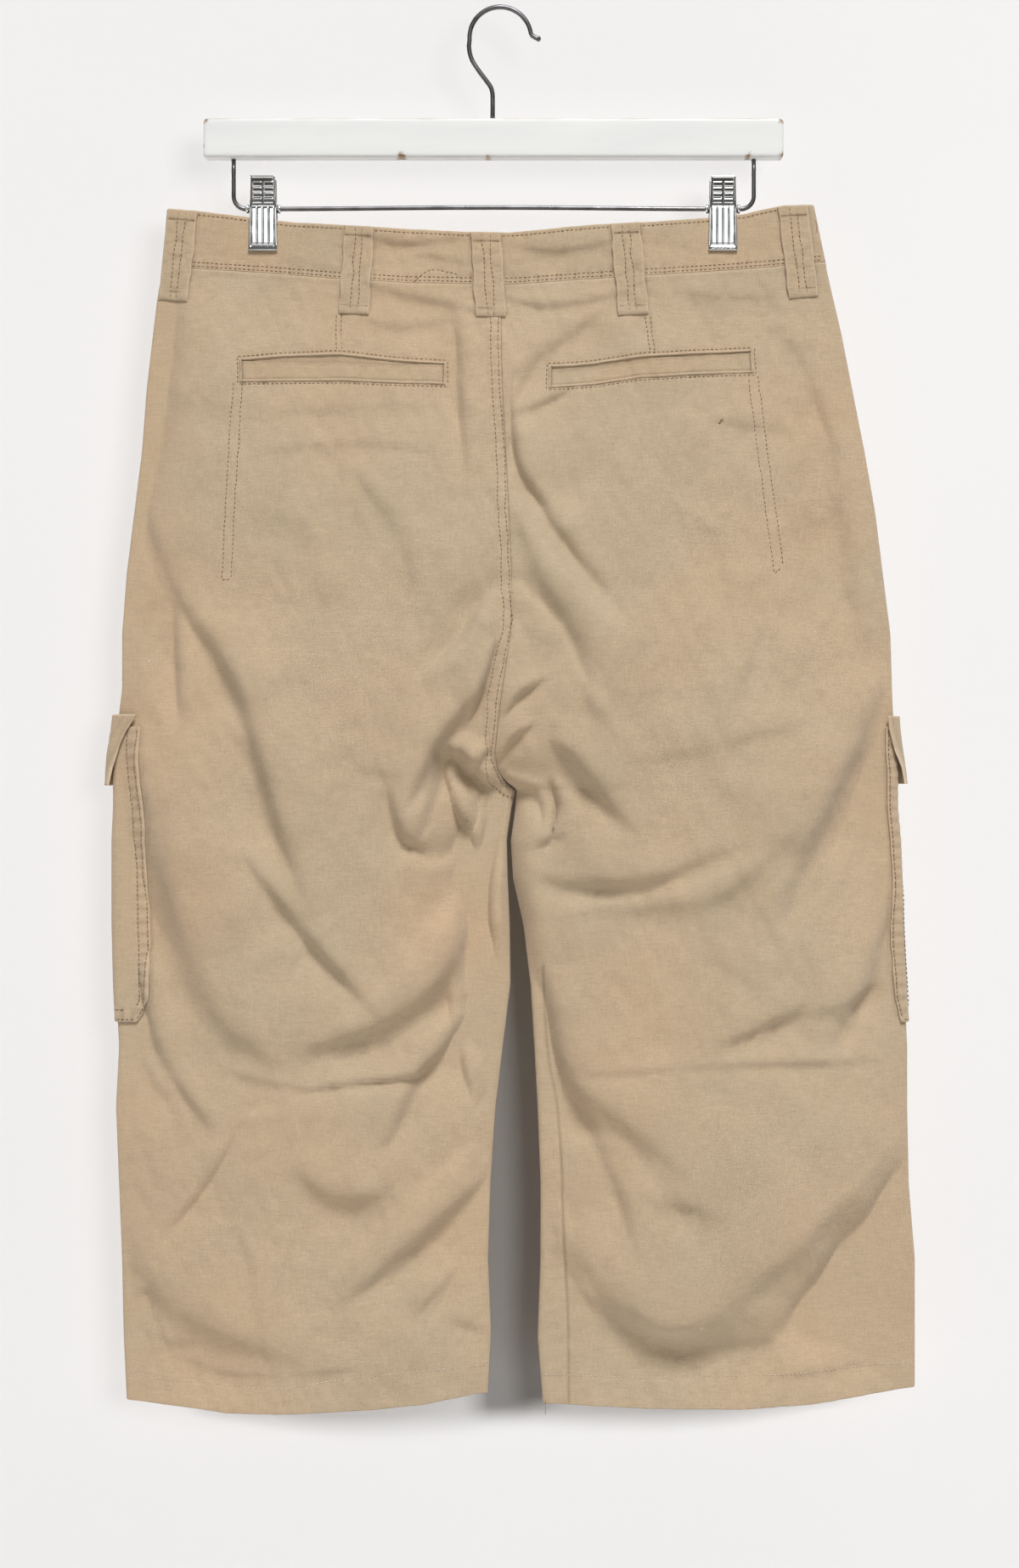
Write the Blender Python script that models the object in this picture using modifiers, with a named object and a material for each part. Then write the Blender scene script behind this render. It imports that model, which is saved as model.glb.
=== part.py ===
"""Cargo shorts of three-quarter length, clipped by the waistband to a wooden bar hanger.

The shorts hang with their back towards -Y. Sizes are in millimetres, the origin is the
inside of the hook's crest and +Z is up. "Down" is a distance below the origin, and a
"level" is the same distance before the waist seam and the hem are given their curves.
"""

import math

import bpy
import numpy as np

MM = 0.001

# Cloth: each wall is built on a core line, and its outside lies SKIN beyond that line.
SKIN = 2.2
CLOTH = 1.2
BAND_RISE = 0.6
BAND_CLOTH = 2.2
PATCH_GAP = 0.8
HALF_SEAM = 0.15
CAP_ARC = 3.5

BACK = 0
FRONT = 1
LEFT = -1
RIGHT = 1

# Levels
BAND_TOP = 131.0
WAIST_SEAM = 168.0
SEAT_CURVE_START = 396.0
CROTCH = 512.0
CROTCH_TURN = 26.0
HEM = 912.0

# Where the two clips hold the waistband, and how far the pinch reaches
CLIP_X = (-155.4, 145.9)
PINCH_WIDTH = 36.0
PINCH_SHARE = 0.95

# level, left side, left inner edge, right inner edge, right side, back depth, front depth
FORM = np.array((
    (130, -218, 0.6, 0.6, 205, 4.0, 4.0),
    (168, -221, 0.6, 0.6, 213, 4.8, 4.5),
    (190, -225, 0.6, 0.6, 218, 6.2, 5.4),
    (215, -228, 0.8, 0.8, 224, 8.4, 7.0),
    (250, -232, 1.5, 1.5, 231, 11.5, 9.0),
    (290, -235, 3.5, 3.5, 239, 15.5, 12.0),
    (330, -240, 5.6, 5.6, 246, 19.0, 14.5),
    (370, -245, 7.3, 7.3, 251, 22.0, 17.0),
    (410, -248, 6.9, 6.9, 256, 24.0, 19.0),
    (445, -248, 1.5, 1.5, 257, 25.0, 20.0),
    (470, -251, -1.7, -1.7, 258, 25.0, 20.5),
    (488, -252, -3.5, -3.5, 258, 24.5, 20.5),
    (500, -252, -1.9, -1.9, 259, 24.0, 20.5),
    (508, -252, 5.5, 5.5, 259, 24.0, 20.5),
    (512, -252, 10.2, 11.0, 259, 24.0, 20.5),
    (524, -252, 7.6, 9.8, 259, 23.5, 20.5),
    (545, -253, 4.6, 6.9, 261, 23.0, 20.0),
    (570, -253, 5.2, 8.4, 262, 22.5, 20.0),
    (600, -253, 6.5, 15.2, 263, 22.0, 19.5),
    (640, -252, 6.9, 19.9, 265, 21.0, 19.0),
    (680, -250, 2.1, 22.3, 267, 20.5, 18.5),
    (720, -252, -2.7, 24.5, 267, 20.0, 18.0),
    (770, -250, -6.1, 26.4, 268, 18.5, 17.0),
    (820, -248, -7.7, 26.3, 272, 17.0, 16.0),
    (870, -247, -5.7, 24.5, 272, 15.0, 14.5),
    (912, -245, -7.8, 27.9, 272, 13.5, 13.0),
))

# x, down
BAND_EDGE = np.array((
    (-218, 131.0), (-196, 133.0), (-170, 136.0), (-133, 140.4), (-105, 142.1), (-66, 144.9),
    (-19, 147.1), (6, 147.4), (28, 145.4), (62, 142.1), (101, 139.9), (134, 137.2),
    (160, 134.6), (173, 131.4), (186, 129.0), (205, 128.4),
))
WAIST_LINE = np.array((
    (-222, 168.3), (-201, 170.5), (-153, 173.3), (-105, 177.7), (-79, 179.4), (-61, 180.5),
    (4, 181.6), (95, 175.5), (180, 169.4), (214, 165.8),
))
HEM_LINE = np.array((
    (-245, 911.5), (-199, 915.8), (-179, 918.6), (-139, 918.6), (-81, 915.8), (-51, 913.0),
    (-15, 907.4), (8, 906.6), (20, 913.0), (28, 914.1), (97, 916.3), (159, 916.3),
    (204, 913.0), (242, 907.4), (273, 903.0),
))

# name, start x, down, middle x, down, end x, down, half width, height (a trough is negative)
BACK_FOLDS = (
    ("seat_crease_right", 54, 211, 11, 247, 24, 317, 11, -3.0),
    ("seat_ridge_right", 17, 323, 44, 366, 70, 406, 11, 3.0),
    ("seat_trough_right", 8, 350, 34, 392, 65, 459, 12, -4.0),
    ("seat_trough_left", -25, 217, -24, 261, -20, 317, 10, -2.5),
    ("hip_left", -223, 334, -182, 423, -144, 523, 17, -4.5),
    ("knee_crease_left", -155, 568, -122, 611, -85, 649, 12, -4.0),
    ("thigh_ridge_left", -83, 651, -43, 601, -9, 551, 13, 4.0),
    ("under_ridge_left", -105, 665, -61, 657, -23, 612, 11, -4.0),
    ("shin_crease_left", -130, 705, -91, 702, -55, 698, 11, -3.0),
    ("lower_trough_left", -94, 841, -50, 804, -9, 755, 13, -4.5),
    ("lower_side_left", -219, 798, -194, 768, -173, 734, 12, -3.0),
    ("knee_hollow_left", -119, 757, -92, 784, -66, 763, 12, -3.5),
    ("u_trough_right", 11, 561, 67, 577, 147, 544, 13, -4.0),
    ("second_u_right", 101, 590, 151, 585, 193, 543, 12, -3.5),
    ("hip_right", 236, 461, 221, 498, 196, 568, 13, -4.0),
    ("inseam_trough_right", 30, 634, 44, 676, 56, 718, 13, -4.5),
    ("knee_trough_right", 56, 697, 87, 735, 121, 763, 12, -3.5),
    ("side_tuck_right", 232, 647, 221, 667, 200, 665, 12, -4.0),
    ("long_trough_right", 266, 740, 215, 807, 155, 886, 16, -5.0),
    ("hem_curve_right", 47, 822, 84, 870, 154, 885, 12, -3.5),
)
FRONT_FOLDS = (
    ("hip_left", -200, 300, -170, 380, -120, 450, 16, -3.5),
    ("hip_right", 205, 310, 160, 390, 110, 450, 16, -3.5),
    ("thigh_left", -40, 560, -90, 600, -150, 610, 15, -3.0),
    ("thigh_right", 50, 570, 110, 605, 165, 600, 15, -3.0),
    ("knee_left", -190, 720, -130, 760, -60, 740, 15, -3.5),
    ("knee_right", 60, 740, 120, 775, 200, 750, 15, -3.5),
)

# Rows and columns of the cloth grids
BACK_LEVELS = (
    168.2, 180, 192, 206, 222, 240, 260, 282, 305, 328, 351, 374, 397, 418, 438, 456, 472, 485,
    495, 503, 508.5, 512, 518, 530, 546, 566, 588, 611, 634, 658, 682, 706, 730, 755, 780, 806,
    832, 858, 880, 898, 912,
)
FRONT_LEVELS = (
    168.2, 190, 215, 245, 280, 320, 360, 400, 435, 462, 482, 497, 507, 512, 522, 545, 580, 620,
    665, 710, 755, 800, 845, 885, 912,
)
# Shares of the width from the inner edge to the side, between the turned edges
BACK_SHARES = tuple(0.045 + 0.955 * step / 14 for step in range(15))
FRONT_SHARES = (0.045, 0.17, 0.3, 0.42, 0.54, 0.66, 0.77, 0.87, 0.945, 1.0)
TURN_SHARES = (0.33, 0.67, 1.0)
BAND_LEVELS = (167.8, 155, 143, 131)

# Loops on the back and the front: name, face, top x, bottom x, bottom down
LOOP_WIDTH = 19.5
LOOP_CLOTH = 1.4
LOOPS = (
    ("belt_loop_back_1", BACK, -207.5, -214.0, 191.5),
    ("belt_loop_back_2", BACK, -92.0, -95.5, 201.0),
    ("belt_loop_back_3", BACK, -9.5, -6.0, 203.0),
    ("belt_loop_back_4", BACK, 81.5, 87.0, 201.5),
    ("belt_loop_back_5", BACK, 191.5, 198.5, 189.5),
    ("belt_loop_front_1", FRONT, -112.0, -112.0, 199.0),
    ("belt_loop_front_2", FRONT, 110.0, 110.0, 199.0),
)
# share of the loop's length, lift from the panel's outside to the loop's inside
LOOP_LIFT = np.array((
    (0.0, 1.0), (0.2, 1.9), (0.4, 2.2), (0.6, 1.9), (0.8, 1.3), (1.0, 0.6),
))

# Welts: name, then x, top down, bottom down
WELT_CLOTH = 1.4
WELTS = (
    ("back_welt_left", (
        (-170, 230.7, 245.9), (-155, 229.2, 245.7), (-141, 227.9, 245.5), (-122, 227.2, 245.4),
        (-104, 226.8, 245.4), (-85, 229.0, 246.2), (-65, 231.2, 247.1), (-50, 232.2, 247.3),
        (-36, 232.9, 247.5),
    )),
    ("back_welt_right", (
        (32, 234.9, 250.1), (46, 234.3, 249.0), (60, 233.0, 248.0), (76, 230.6, 245.6),
        (92, 228.3, 243.3), (108, 227.4, 242.4), (124, 226.2, 241.2), (144, 225.2, 240.3),
        (165, 224.1, 239.4),
    )),
)

# Cargo pockets wrap the side seam. level, how far the back edge lies behind the side's tip
POCKET_CLOTH = 1.3
POCKET_TOP = 470.0
POCKET_BOTTOM = 664.0
POCKET_FRONT_SHARE = 0.42
POCKET_LEVELS = (471, 482, 497, 512, 545, 580, 620, 650, 664)
POCKET_BACK_LEFT = np.array((
    (470, 13.0), (495, 13.5), (534, 18.5), (570, 19.5), (615, 20.0), (650, 19.5), (664, 9.0),
))
POCKET_BACK_RIGHT = np.array((
    (470, 1.5), (532, 1.5), (570, 1.5), (592, 4.0), (622, 4.0), (650, 3.0), (664, 0.5),
))
CHAMFER = 13.0
FLAP_CLOTH = 1.5
FLAP_OUT = SKIN + PATCH_GAP + POCKET_CLOTH + 0.9
# share of the flap's depth, level, start of its rear edge round the side, flare outwards
FLAP_LEFT = np.array((
    (462.5, -12.0, 0.0), (472.0, -7.5, 0.2), (484.0, -2.5, 1.2), (497.0, 0.5, 2.4), (509.0, 1.5, 3.4),
))
FLAP_RIGHT = np.array((
    (463.5, -2.0, 0.0), (472.0, -1.5, 0.4), (484.0, 0.0, 1.6), (497.0, 1.5, 3.0), (508.0, 2.0, 3.9),
))
FLAP_FRONT_REACH = 4.0

# Front closing
FLY_X = (-36.0, -25.0, -13.0, -1.0)
FLY_BOTTOM = (296.0, 318.0, 331.0, 336.0)
BAND_OVER_END = 20.0
BAND_UNDER_END = -12.0
BAND_LAP = 2.5
BUTTON_RADIUS = 8.5
BUTTON_DEEP = 2.6

# Hanger
BAR_LEFT = -194.4
BAR_RIGHT = 185.5
BAR_TOP = -72.5
BAR_BOTTOM = -98.2
BAR_DEEP = 13.0
WIRE_RADIUS = 1.5
HOOK_RADIUS = 1.6
HOOK_ARC = 20.2
HOOK_CENTRE = (0.0, -18.6)
RAIL_Z = -131.0
RAIL_LEFT = -174.9
RAIL_RIGHT = 166.3
RAIL_BEND = 8.4
SLEEVE_RADIUS = 2.5
SLEEVE_LENGTH = 22.6
JAW_METAL = 1.0
# z, distance of the jaw's inside from the rail's plane, width
JAW_LINE = (
    (-110.3, 6.4, 16.2), (-118.0, 4.6, 16.8), (-126.0, 3.1, 17.4), (-131.0, 2.8, 17.8),
    (-136.0, 3.3, 18.1), (-147.0, 3.6, 18.5), (-155.5, 3.5, 18.8), (-159.0, 4.2, 18.9),
)


def smooth(share):
    share = np.clip(share, 0.0, 1.0)
    return share * share * (3.0 - 2.0 * share)


def column(table, number, at):
    return np.interp(at, table[:, 0], table[:, number])


def actual_down(x, level):
    """How far below the origin a point of this level is, with the curves of the seams."""
    top = column(BAND_EDGE, 1, x)
    seam = column(WAIST_LINE, 1, x)
    in_band = seam + (top - seam) * (WAIST_SEAM - level) / (WAIST_SEAM - BAND_TOP)
    below = level + (seam - WAIST_SEAM) * smooth(1.0 - (level - WAIST_SEAM) / 120.0)
    below = below + (column(HEM_LINE, 1, x) - HEM) * smooth((level - 790.0) / (HEM - 790.0))
    return np.where(level < WAIST_SEAM, in_band, below)


def level_of(x, down):
    """The level whose point at x lies this far below the origin."""
    level = np.array(down, dtype=float)
    for _ in range(6):
        level = level - (actual_down(x, level) - down)
    return level


def fold_relief(folds, x, down):
    """Soft troughs and ridges along three-point curves."""
    total = np.zeros(np.broadcast(x, down).shape)
    along = np.linspace(0.0, 1.0, 21)
    strength = np.sin(math.pi * along) ** 0.6
    for _, x0, d0, x1, d1, x2, d2, width, height in folds:
        bend_x = 2 * x1 - (x0 + x2) / 2
        bend_d = 2 * d1 - (d0 + d2) / 2
        line_x = (1 - along) ** 2 * x0 + 2 * along * (1 - along) * bend_x + along**2 * x2
        line_d = (1 - along) ** 2 * d0 + 2 * along * (1 - along) * bend_d + along**2 * d2
        away = (x[..., None] - line_x) ** 2 + (down[..., None] - line_d) ** 2
        total += height * (strength * np.exp(-away / width**2)).max(axis=-1)
    return total


def crotch_turn(level):
    return smooth((level - (CROTCH - CROTCH_TURN)) / CROTCH_TURN)


def core_ends(side, level):
    """x of the core line's inner and outer ends."""
    inner = column(FORM, 2 if side == LEFT else 3, level)
    outer = column(FORM, 1 if side == LEFT else 4, level)
    inset = SKIN * np.sin(math.pi / 2 * crotch_turn(level))
    return inner + side * inset, outer - side * SKIN


def core_line(side, face, share, level):
    """x and outward depth of the core line. share runs from the inner edge to the side."""
    inner, outer = core_ends(side, level)
    start = -np.clip((level - SEAT_CURVE_START) / (CROTCH - SEAT_CURVE_START), 0.0, 1.0)
    across = start + (1.0 - start) * share
    x = inner + (outer - inner) * share
    held = sum(np.exp(-(((x - clip) / PINCH_WIDTH) ** 2)) for clip in CLIP_X)
    pinch = 1.0 - PINCH_SHARE * held * smooth(1.0 - (level - 150.0) / 90.0)
    deep = column(FORM, 5 + face, level) * pinch * (1.0 - np.abs(across) ** 2.5)
    folds = FRONT_FOLDS if face == FRONT else BACK_FOLDS
    relief = fold_relief(folds, x, actual_down(x, level))
    relief = relief * np.clip(1.0 - across**8, 0.0, 1.0)
    return x, np.maximum(deep + relief, np.minimum(deep, 0.0))


def skin(side, face, share, fan, level, out):
    """Points this far out from the core line. fan turns from the wall (0) to the side
    seam (1), or to the inner edge (-1)."""
    share, fan, level, out = np.broadcast_arrays(
        *(np.asarray(value, dtype=float) for value in (share, fan, level, out))
    )
    x, y = core_line(side, face, share, level)
    x_before, y_before = core_line(side, face, share - 0.002, level)
    x_after, y_after = core_line(side, face, share + 0.002, level)
    angle = np.arctan2((x_after - x_before) * side, y_before - y_after)
    inward = np.clip(-fan, 0.0, 1.0)
    angle = angle * (1.0 - np.clip(fan, 0.0, 1.0))
    angle = angle + (math.pi / 2 - angle) * inward
    angle = angle + (math.pi - angle) * crotch_turn(level) * inward
    x = x + side * np.cos(angle) * out
    y = (y + np.sin(angle) * out) * (-1 if face == BACK else 1)
    return np.stack([x, y, -actual_down(x, level)], axis=-1)


def ring(side, around, level, out):
    """Points round the side: around is negative on the back, then the cap's arc, then the front."""
    around, level = np.broadcast_arrays(np.asarray(around, float), np.asarray(level, float))
    inner, outer = core_ends(side, level)
    span = np.abs(outer - inner)
    back_share = 1.0 - np.clip(-around, 0.0, None) / span
    back = skin(side, BACK, back_share, np.clip(around / CAP_ARC, 0.0, 1.0), level, out)
    beyond = around - 2 * CAP_ARC
    front_share = 1.0 - np.clip(beyond, 0.0, None) / span
    front = skin(side, FRONT, front_share, np.clip(-beyond / CAP_ARC, 0.0, 1.0), level, out)
    return np.where((around <= CAP_ARC)[..., None], back, front)


def on_face(face, x, level, out):
    """Points over the place x on one face, held to the flat part of the wall."""
    x, level, out = np.broadcast_arrays(
        *(np.asarray(value, dtype=float) for value in (x, level, out))
    )
    made = []
    for side in (LEFT, RIGHT):
        inner, outer = core_ends(side, level)
        share = (x - inner) / (outer - inner)
        fan = np.clip((share - 1.0) * 40.0, 0.0, 0.4)
        made.append(skin(side, face, np.clip(share, 0.0, 1.0), fan, level, out))
    middle = column(FORM, 2, level)
    return np.where((x < middle)[..., None], made[0], made[1])


def material(name, colour, roughness, metallic=0.0):
    made = bpy.data.materials.new(name)
    made.use_nodes = True
    shader = made.node_tree.nodes["Principled BSDF"]
    shader.inputs["Base Color"].default_value = (*colour, 1.0)
    shader.inputs["Roughness"].default_value = roughness
    shader.inputs["Metallic"].default_value = metallic
    return made


def add_mesh(name, points, faces, look, collection):
    mesh = bpy.data.meshes.new(name)
    mesh.from_pydata([tuple(float(v) * MM for v in point) for point in points], [], faces)
    mesh.validate()
    for polygon in mesh.polygons:
        polygon.use_smooth = True
    mesh.materials.append(look)
    made = bpy.data.objects.new(name, mesh)
    collection.objects.link(made)
    return made


def wall(name, outside, inside, look, collection):
    """A closed thin wall between two grids of points with the same rows and columns."""
    rows, columns = outside.shape[:2]
    points = np.concatenate([outside.reshape(-1, 3), inside.reshape(-1, 3)])
    half = rows * columns
    faces = []
    for i in range(rows - 1):
        for j in range(columns - 1):
            a, b = i * columns + j, i * columns + j + 1
            c, d = a + columns, b + columns
            falling = np.linalg.norm(points[a] - points[d])
            rising = np.linalg.norm(points[b] - points[c])
            pair = [(a, b, d), (a, d, c)] if falling <= rising else [(a, b, c), (b, d, c)]
            faces += pair
            faces += [tuple(half + v for v in reversed(face)) for face in pair]
    edge = [j for j in range(columns)]
    edge += [i * columns + columns - 1 for i in range(1, rows)]
    edge += [(rows - 1) * columns + j for j in range(columns - 2, -1, -1)]
    edge += [i * columns for i in range(rows - 2, 0, -1)]
    for a, b in zip(edge, edge[1:] + edge[:1]):
        faces += [(a, half + a, half + b), (a, half + b, b)]
    corners = points[np.array(faces)]
    volume = np.einsum("ij,ij->i", corners[:, 0], np.cross(corners[:, 1], corners[:, 2])).sum()
    if volume < 0:
        faces = [tuple(reversed(face)) for face in faces]
    return add_mesh(name, points, faces, look, collection)


def panel(name, side, face, levels, shares, look, collection):
    """One cut piece from the centre seam or inseam to the side seam."""
    share = np.concatenate([[0.0, 0.008, 0.018], shares, [1.0, 1.0, 1.0]])
    fan = np.concatenate([[-1.0, -0.67, -0.33], np.zeros(len(shares)), TURN_SHARES])
    level = np.array(levels, dtype=float)[:, None]
    apart = np.array([side * HALF_SEAM, -HALF_SEAM if face == BACK else HALF_SEAM, 0.0])
    outside = skin(side, face, share[None], fan[None], level, SKIN) + apart
    inside = skin(side, face, share[None], fan[None], level, SKIN - CLOTH) + apart
    wall(name, outside, inside, look, collection)


def waistband(look, collection):
    """One strip all round. Its end laps over its start at the centre front."""
    level = np.array(BAND_LEVELS, dtype=float)[:, None]
    steps = np.linspace(0.0, 1.0, 11)
    outer = SKIN + BAND_RISE
    inner = outer - BAND_CLOTH

    def strip(out):
        arc = np.array([CAP_ARC * 0.5, CAP_ARC, CAP_ARC * 1.5])
        start, tip = core_ends(RIGHT, level)
        x = BAND_UNDER_END + (tip - BAND_UNDER_END) * steps
        front_right = on_face(FRONT, x, level, out)
        cap_right = ring(RIGHT, arc[::-1], level, out)
        start, left_tip = core_ends(LEFT, level)
        x = tip + (left_tip - tip) * np.linspace(0.0, 1.0, 21)
        back = on_face(BACK, x, level, out)
        cap_left = ring(LEFT, arc, level, out)
        lap_x = np.array([-34.0, -16.0, 2.0, BAND_OVER_END])
        x = left_tip + (lap_x[0] - left_tip) * np.linspace(0.0, 1.0, 8)
        front_left = on_face(FRONT, x, level, out)
        lap = on_face(FRONT, lap_x[None, 1:], level, out + BAND_LAP)
        return np.concatenate([front_right, cap_right, back, cap_left, front_left, lap], axis=1)

    wall("waistband", strip(outer), strip(inner), look, collection)


def belt_loop(name, face, top_x, bottom_x, bottom_down, look, collection):
    share = np.linspace(0.0, 1.0, 8)[:, None]
    x = top_x + (bottom_x - top_x) * share
    x = x + LOOP_WIDTH * np.array([-0.5, 0.0, 0.5])[None]
    last = level_of(np.array(bottom_x), np.array(bottom_down))
    level = BAND_TOP + 0.6 + (last - BAND_TOP - 0.6) * share + 0 * x
    lift = SKIN + column(LOOP_LIFT, 1, share)
    inside = on_face(face, x, level, lift)
    outside = on_face(face, x, level, lift + LOOP_CLOTH)
    wall(name, outside, inside, look, collection)


def welt(name, rows, look, collection):
    table = np.array(rows, dtype=float)
    share = np.array([0.0, 0.5, 1.0])[:, None]
    down = table[None, :, 1] + (table[None, :, 2] - table[None, :, 1]) * share
    x = table[None, :, 0] + 0 * down
    level = level_of(x, down)
    gape = PATCH_GAP + 0.5 * (1.0 - share)
    inside = on_face(BACK, x, level, SKIN + gape)
    outside = on_face(BACK, x, level, SKIN + gape + WELT_CLOTH)
    wall(name, outside, inside, look, collection)


def around_side(side, first, level, over):
    """Columns from a rear edge round the side seam and over the front panel's own columns."""
    inner, tip = core_ends(side, level)
    span = np.abs(tip - inner)
    rear = first * np.array([1.0, 0.5, 0.0])
    turn = CAP_ARC * np.array([*TURN_SHARES, 2.0 - TURN_SHARES[1], 2.0 - TURN_SHARES[0]])
    share = np.array([value for value in reversed(FRONT_SHARES) if value >= POCKET_FRONT_SHARE])
    front = 2 * CAP_ARC + (1.0 - share) * span + over * (share == share.min())
    return np.concatenate([rear, turn + 0 * level, front], axis=1)


def cargo_pocket(name, side, look, collection):
    """A patch pocket that wraps the side, with its bottom corners cut off."""
    level = np.array(POCKET_LEVELS, dtype=float)[:, None]
    table = POCKET_BACK_LEFT if side == LEFT else POCKET_BACK_RIGHT
    first = -column(table, 1, level) - 1.8
    cut = np.clip((level - (POCKET_BOTTOM - CHAMFER)) / CHAMFER, 0.0, 1.0) * CHAMFER
    around = around_side(side, first, level, -cut)
    inside = ring(side, around, level, SKIN + PATCH_GAP)
    outside = ring(side, around, level, SKIN + PATCH_GAP + POCKET_CLOTH)
    wall(name, outside, inside, look, collection)


def pocket_flap(name, side, look, collection):
    """The flap over the pocket's mouth. Its rear lower corner stands away from the leg."""
    table = FLAP_LEFT if side == LEFT else FLAP_RIGHT
    level = table[:, :1]
    around = around_side(side, np.minimum(table[:, 1:2], 0.0), level, FLAP_FRONT_REACH)
    shift = np.maximum(table[:, 1:2], 0.0)
    around = around + shift * np.exp(-np.clip(around, 0.0, None) / CAP_ARC)
    flare = table[:, 2:3] * np.exp(-((np.clip(around - CAP_ARC * 0.6, 0.0, None) / 14.0) ** 2))
    inside = ring(side, around, level, FLAP_OUT + flare)
    outside = ring(side, around, level, FLAP_OUT + FLAP_CLOTH + flare)
    wall(name, outside, inside, look, collection)


def fly_placket(look, collection):
    share = np.linspace(0.0, 1.0, 8)[:, None]
    x = np.array(FLY_X)[None] + 0 * share
    bottom = np.array(FLY_BOTTOM)[None]
    top = column(WAIST_LINE, 1, x) + 1.0
    level = level_of(x, top + (bottom - top) * share)
    inside = on_face(FRONT, x, level, SKIN + PATCH_GAP)
    outside = on_face(FRONT, x, level, SKIN + PATCH_GAP + CLOTH)
    wall("fly_placket", outside, inside, look, collection)


def cylinder(name, radius, length, axis, centre, look, collection, bore=0.0, sides=20):
    """A round piece, or a tube when bore is given."""
    angles = np.linspace(0.0, 2 * math.pi, sides, endpoint=False)
    rings = [(radius, -length / 2), (radius, length / 2)]
    if bore:
        rings += [(bore, length / 2), (bore, -length / 2)]
    points = []
    for reach, along in rings:
        for angle in angles:
            flat = (reach * math.cos(angle), reach * math.sin(angle), along)
            points.append(flat if axis == "Z" else (flat[2], flat[0], flat[1]))
    if axis == "Y":
        points = [(p[1], p[0], -p[2]) for p in points]
    points = [tuple(a + b for a, b in zip(p, centre)) for p in points]
    count = len(rings)
    faces = []
    for i in range(count if bore else 1):
        for j in range(sides):
            k = (j + 1) % sides
            low, high = i * sides, ((i + 1) % count) * sides
            faces.append((low + j, low + k, high + k, high + j))
    if not bore:
        faces.append(tuple(reversed(range(sides))))
        faces.append(tuple(range(sides, 2 * sides)))
    return add_mesh(name, points, faces, look, collection)


def wire(name, points, radius, look, collection):
    curve = bpy.data.curves.new(name, "CURVE")
    curve.dimensions = "3D"
    curve.bevel_depth = radius * MM
    curve.bevel_resolution = 2
    curve.use_fill_caps = True
    line = curve.splines.new("POLY")
    line.points.add(len(points) - 1)
    for target, point in zip(line.points, points):
        target.co = (*(value * MM for value in point), 1.0)
    curve.materials.append(look)
    made = bpy.data.objects.new(name, curve)
    collection.objects.link(made)
    return made


def arc_points(centre, radius, first, last, steps):
    """Points on an arc in the XZ plane, with angles in degrees from +X towards +Z."""
    angles = np.radians(np.linspace(first, last, steps))
    return [
        (centre[0] + radius * math.cos(a), 0.0, centre[1] + radius * math.sin(a)) for a in angles
    ]


def hook(look, collection):
    stem = [(-5.0, 0.0, BAR_TOP + 0.3), (-5.0, 0.0, -57.5), (-5.4, 0.0, -54.0), (-6.5, 0.0, -50.6)]
    stem += [(-9.6, 0.0, -46.2), (-13.4, 0.0, -41.2), (-16.6, 0.0, -36.6), (-18.9, 0.0, -32.4)]
    stem += [(-20.1, 0.0, -28.2), (-20.6, 0.0, -24.0)]
    crest = arc_points(HOOK_CENTRE, HOOK_ARC, 184.0, 8.0, 25)
    tip = [(20.9, 0.0, -17.1), (23.0, 0.0, -18.4), (25.2, 0.0, -19.3)]
    wire("hook", stem + crest + tip, HOOK_RADIUS, look, collection)


def rail(look, collection):
    low = RAIL_Z + RAIL_BEND
    left = arc_points((RAIL_LEFT + RAIL_BEND, low), RAIL_BEND, 180.0, 270.0, 8)
    right = arc_points((RAIL_RIGHT - RAIL_BEND, low), RAIL_BEND, 270.0, 360.0, 8)
    ends = BAR_BOTTOM - 0.3
    points = [(RAIL_LEFT, 0.0, ends)] + left + right + [(RAIL_RIGHT, 0.0, ends)]
    wire("rail", points, WIRE_RADIUS, look, collection)


def jaw(name, centre, face, look, collection):
    """One plate of a clip, pressed on the waistband below the rail."""
    away = -1 if face == BACK else 1
    across = np.array([-0.5, -0.44, 0.0, 0.44, 0.5])
    tuck = np.array([0.5, 0.0, 0.0, 0.0, 0.5])
    inside = []
    outside = []
    for z, gap, width in JAW_LINE:
        x = centre + across * width
        inside.append([(a, away * gap, z) for a in x])
        outside.append([(a, away * (gap + JAW_METAL - t), z) for a, t in zip(x, tuck)])
    wall(name, np.array(outside), np.array(inside), look, collection)


def bar(look, collection):
    bpy.ops.mesh.primitive_cube_add(size=1.0)
    made = bpy.context.active_object
    made.name = made.data.name = "hanger_bar"
    size = (BAR_RIGHT - BAR_LEFT, BAR_DEEP, BAR_TOP - BAR_BOTTOM)
    centre = ((BAR_RIGHT + BAR_LEFT) / 2, 0.0, (BAR_TOP + BAR_BOTTOM) / 2)
    for vertex in made.data.vertices:
        vertex.co = [(v * s + c) * MM for v, s, c in zip(vertex.co, size, centre)]
    rounding = made.modifiers.new("edges", "BEVEL")
    rounding.width = 1.8 * MM
    rounding.segments = 3
    made.data.materials.append(look)
    for owner in made.users_collection:
        owner.objects.unlink(made)
    collection.objects.link(made)


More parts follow.
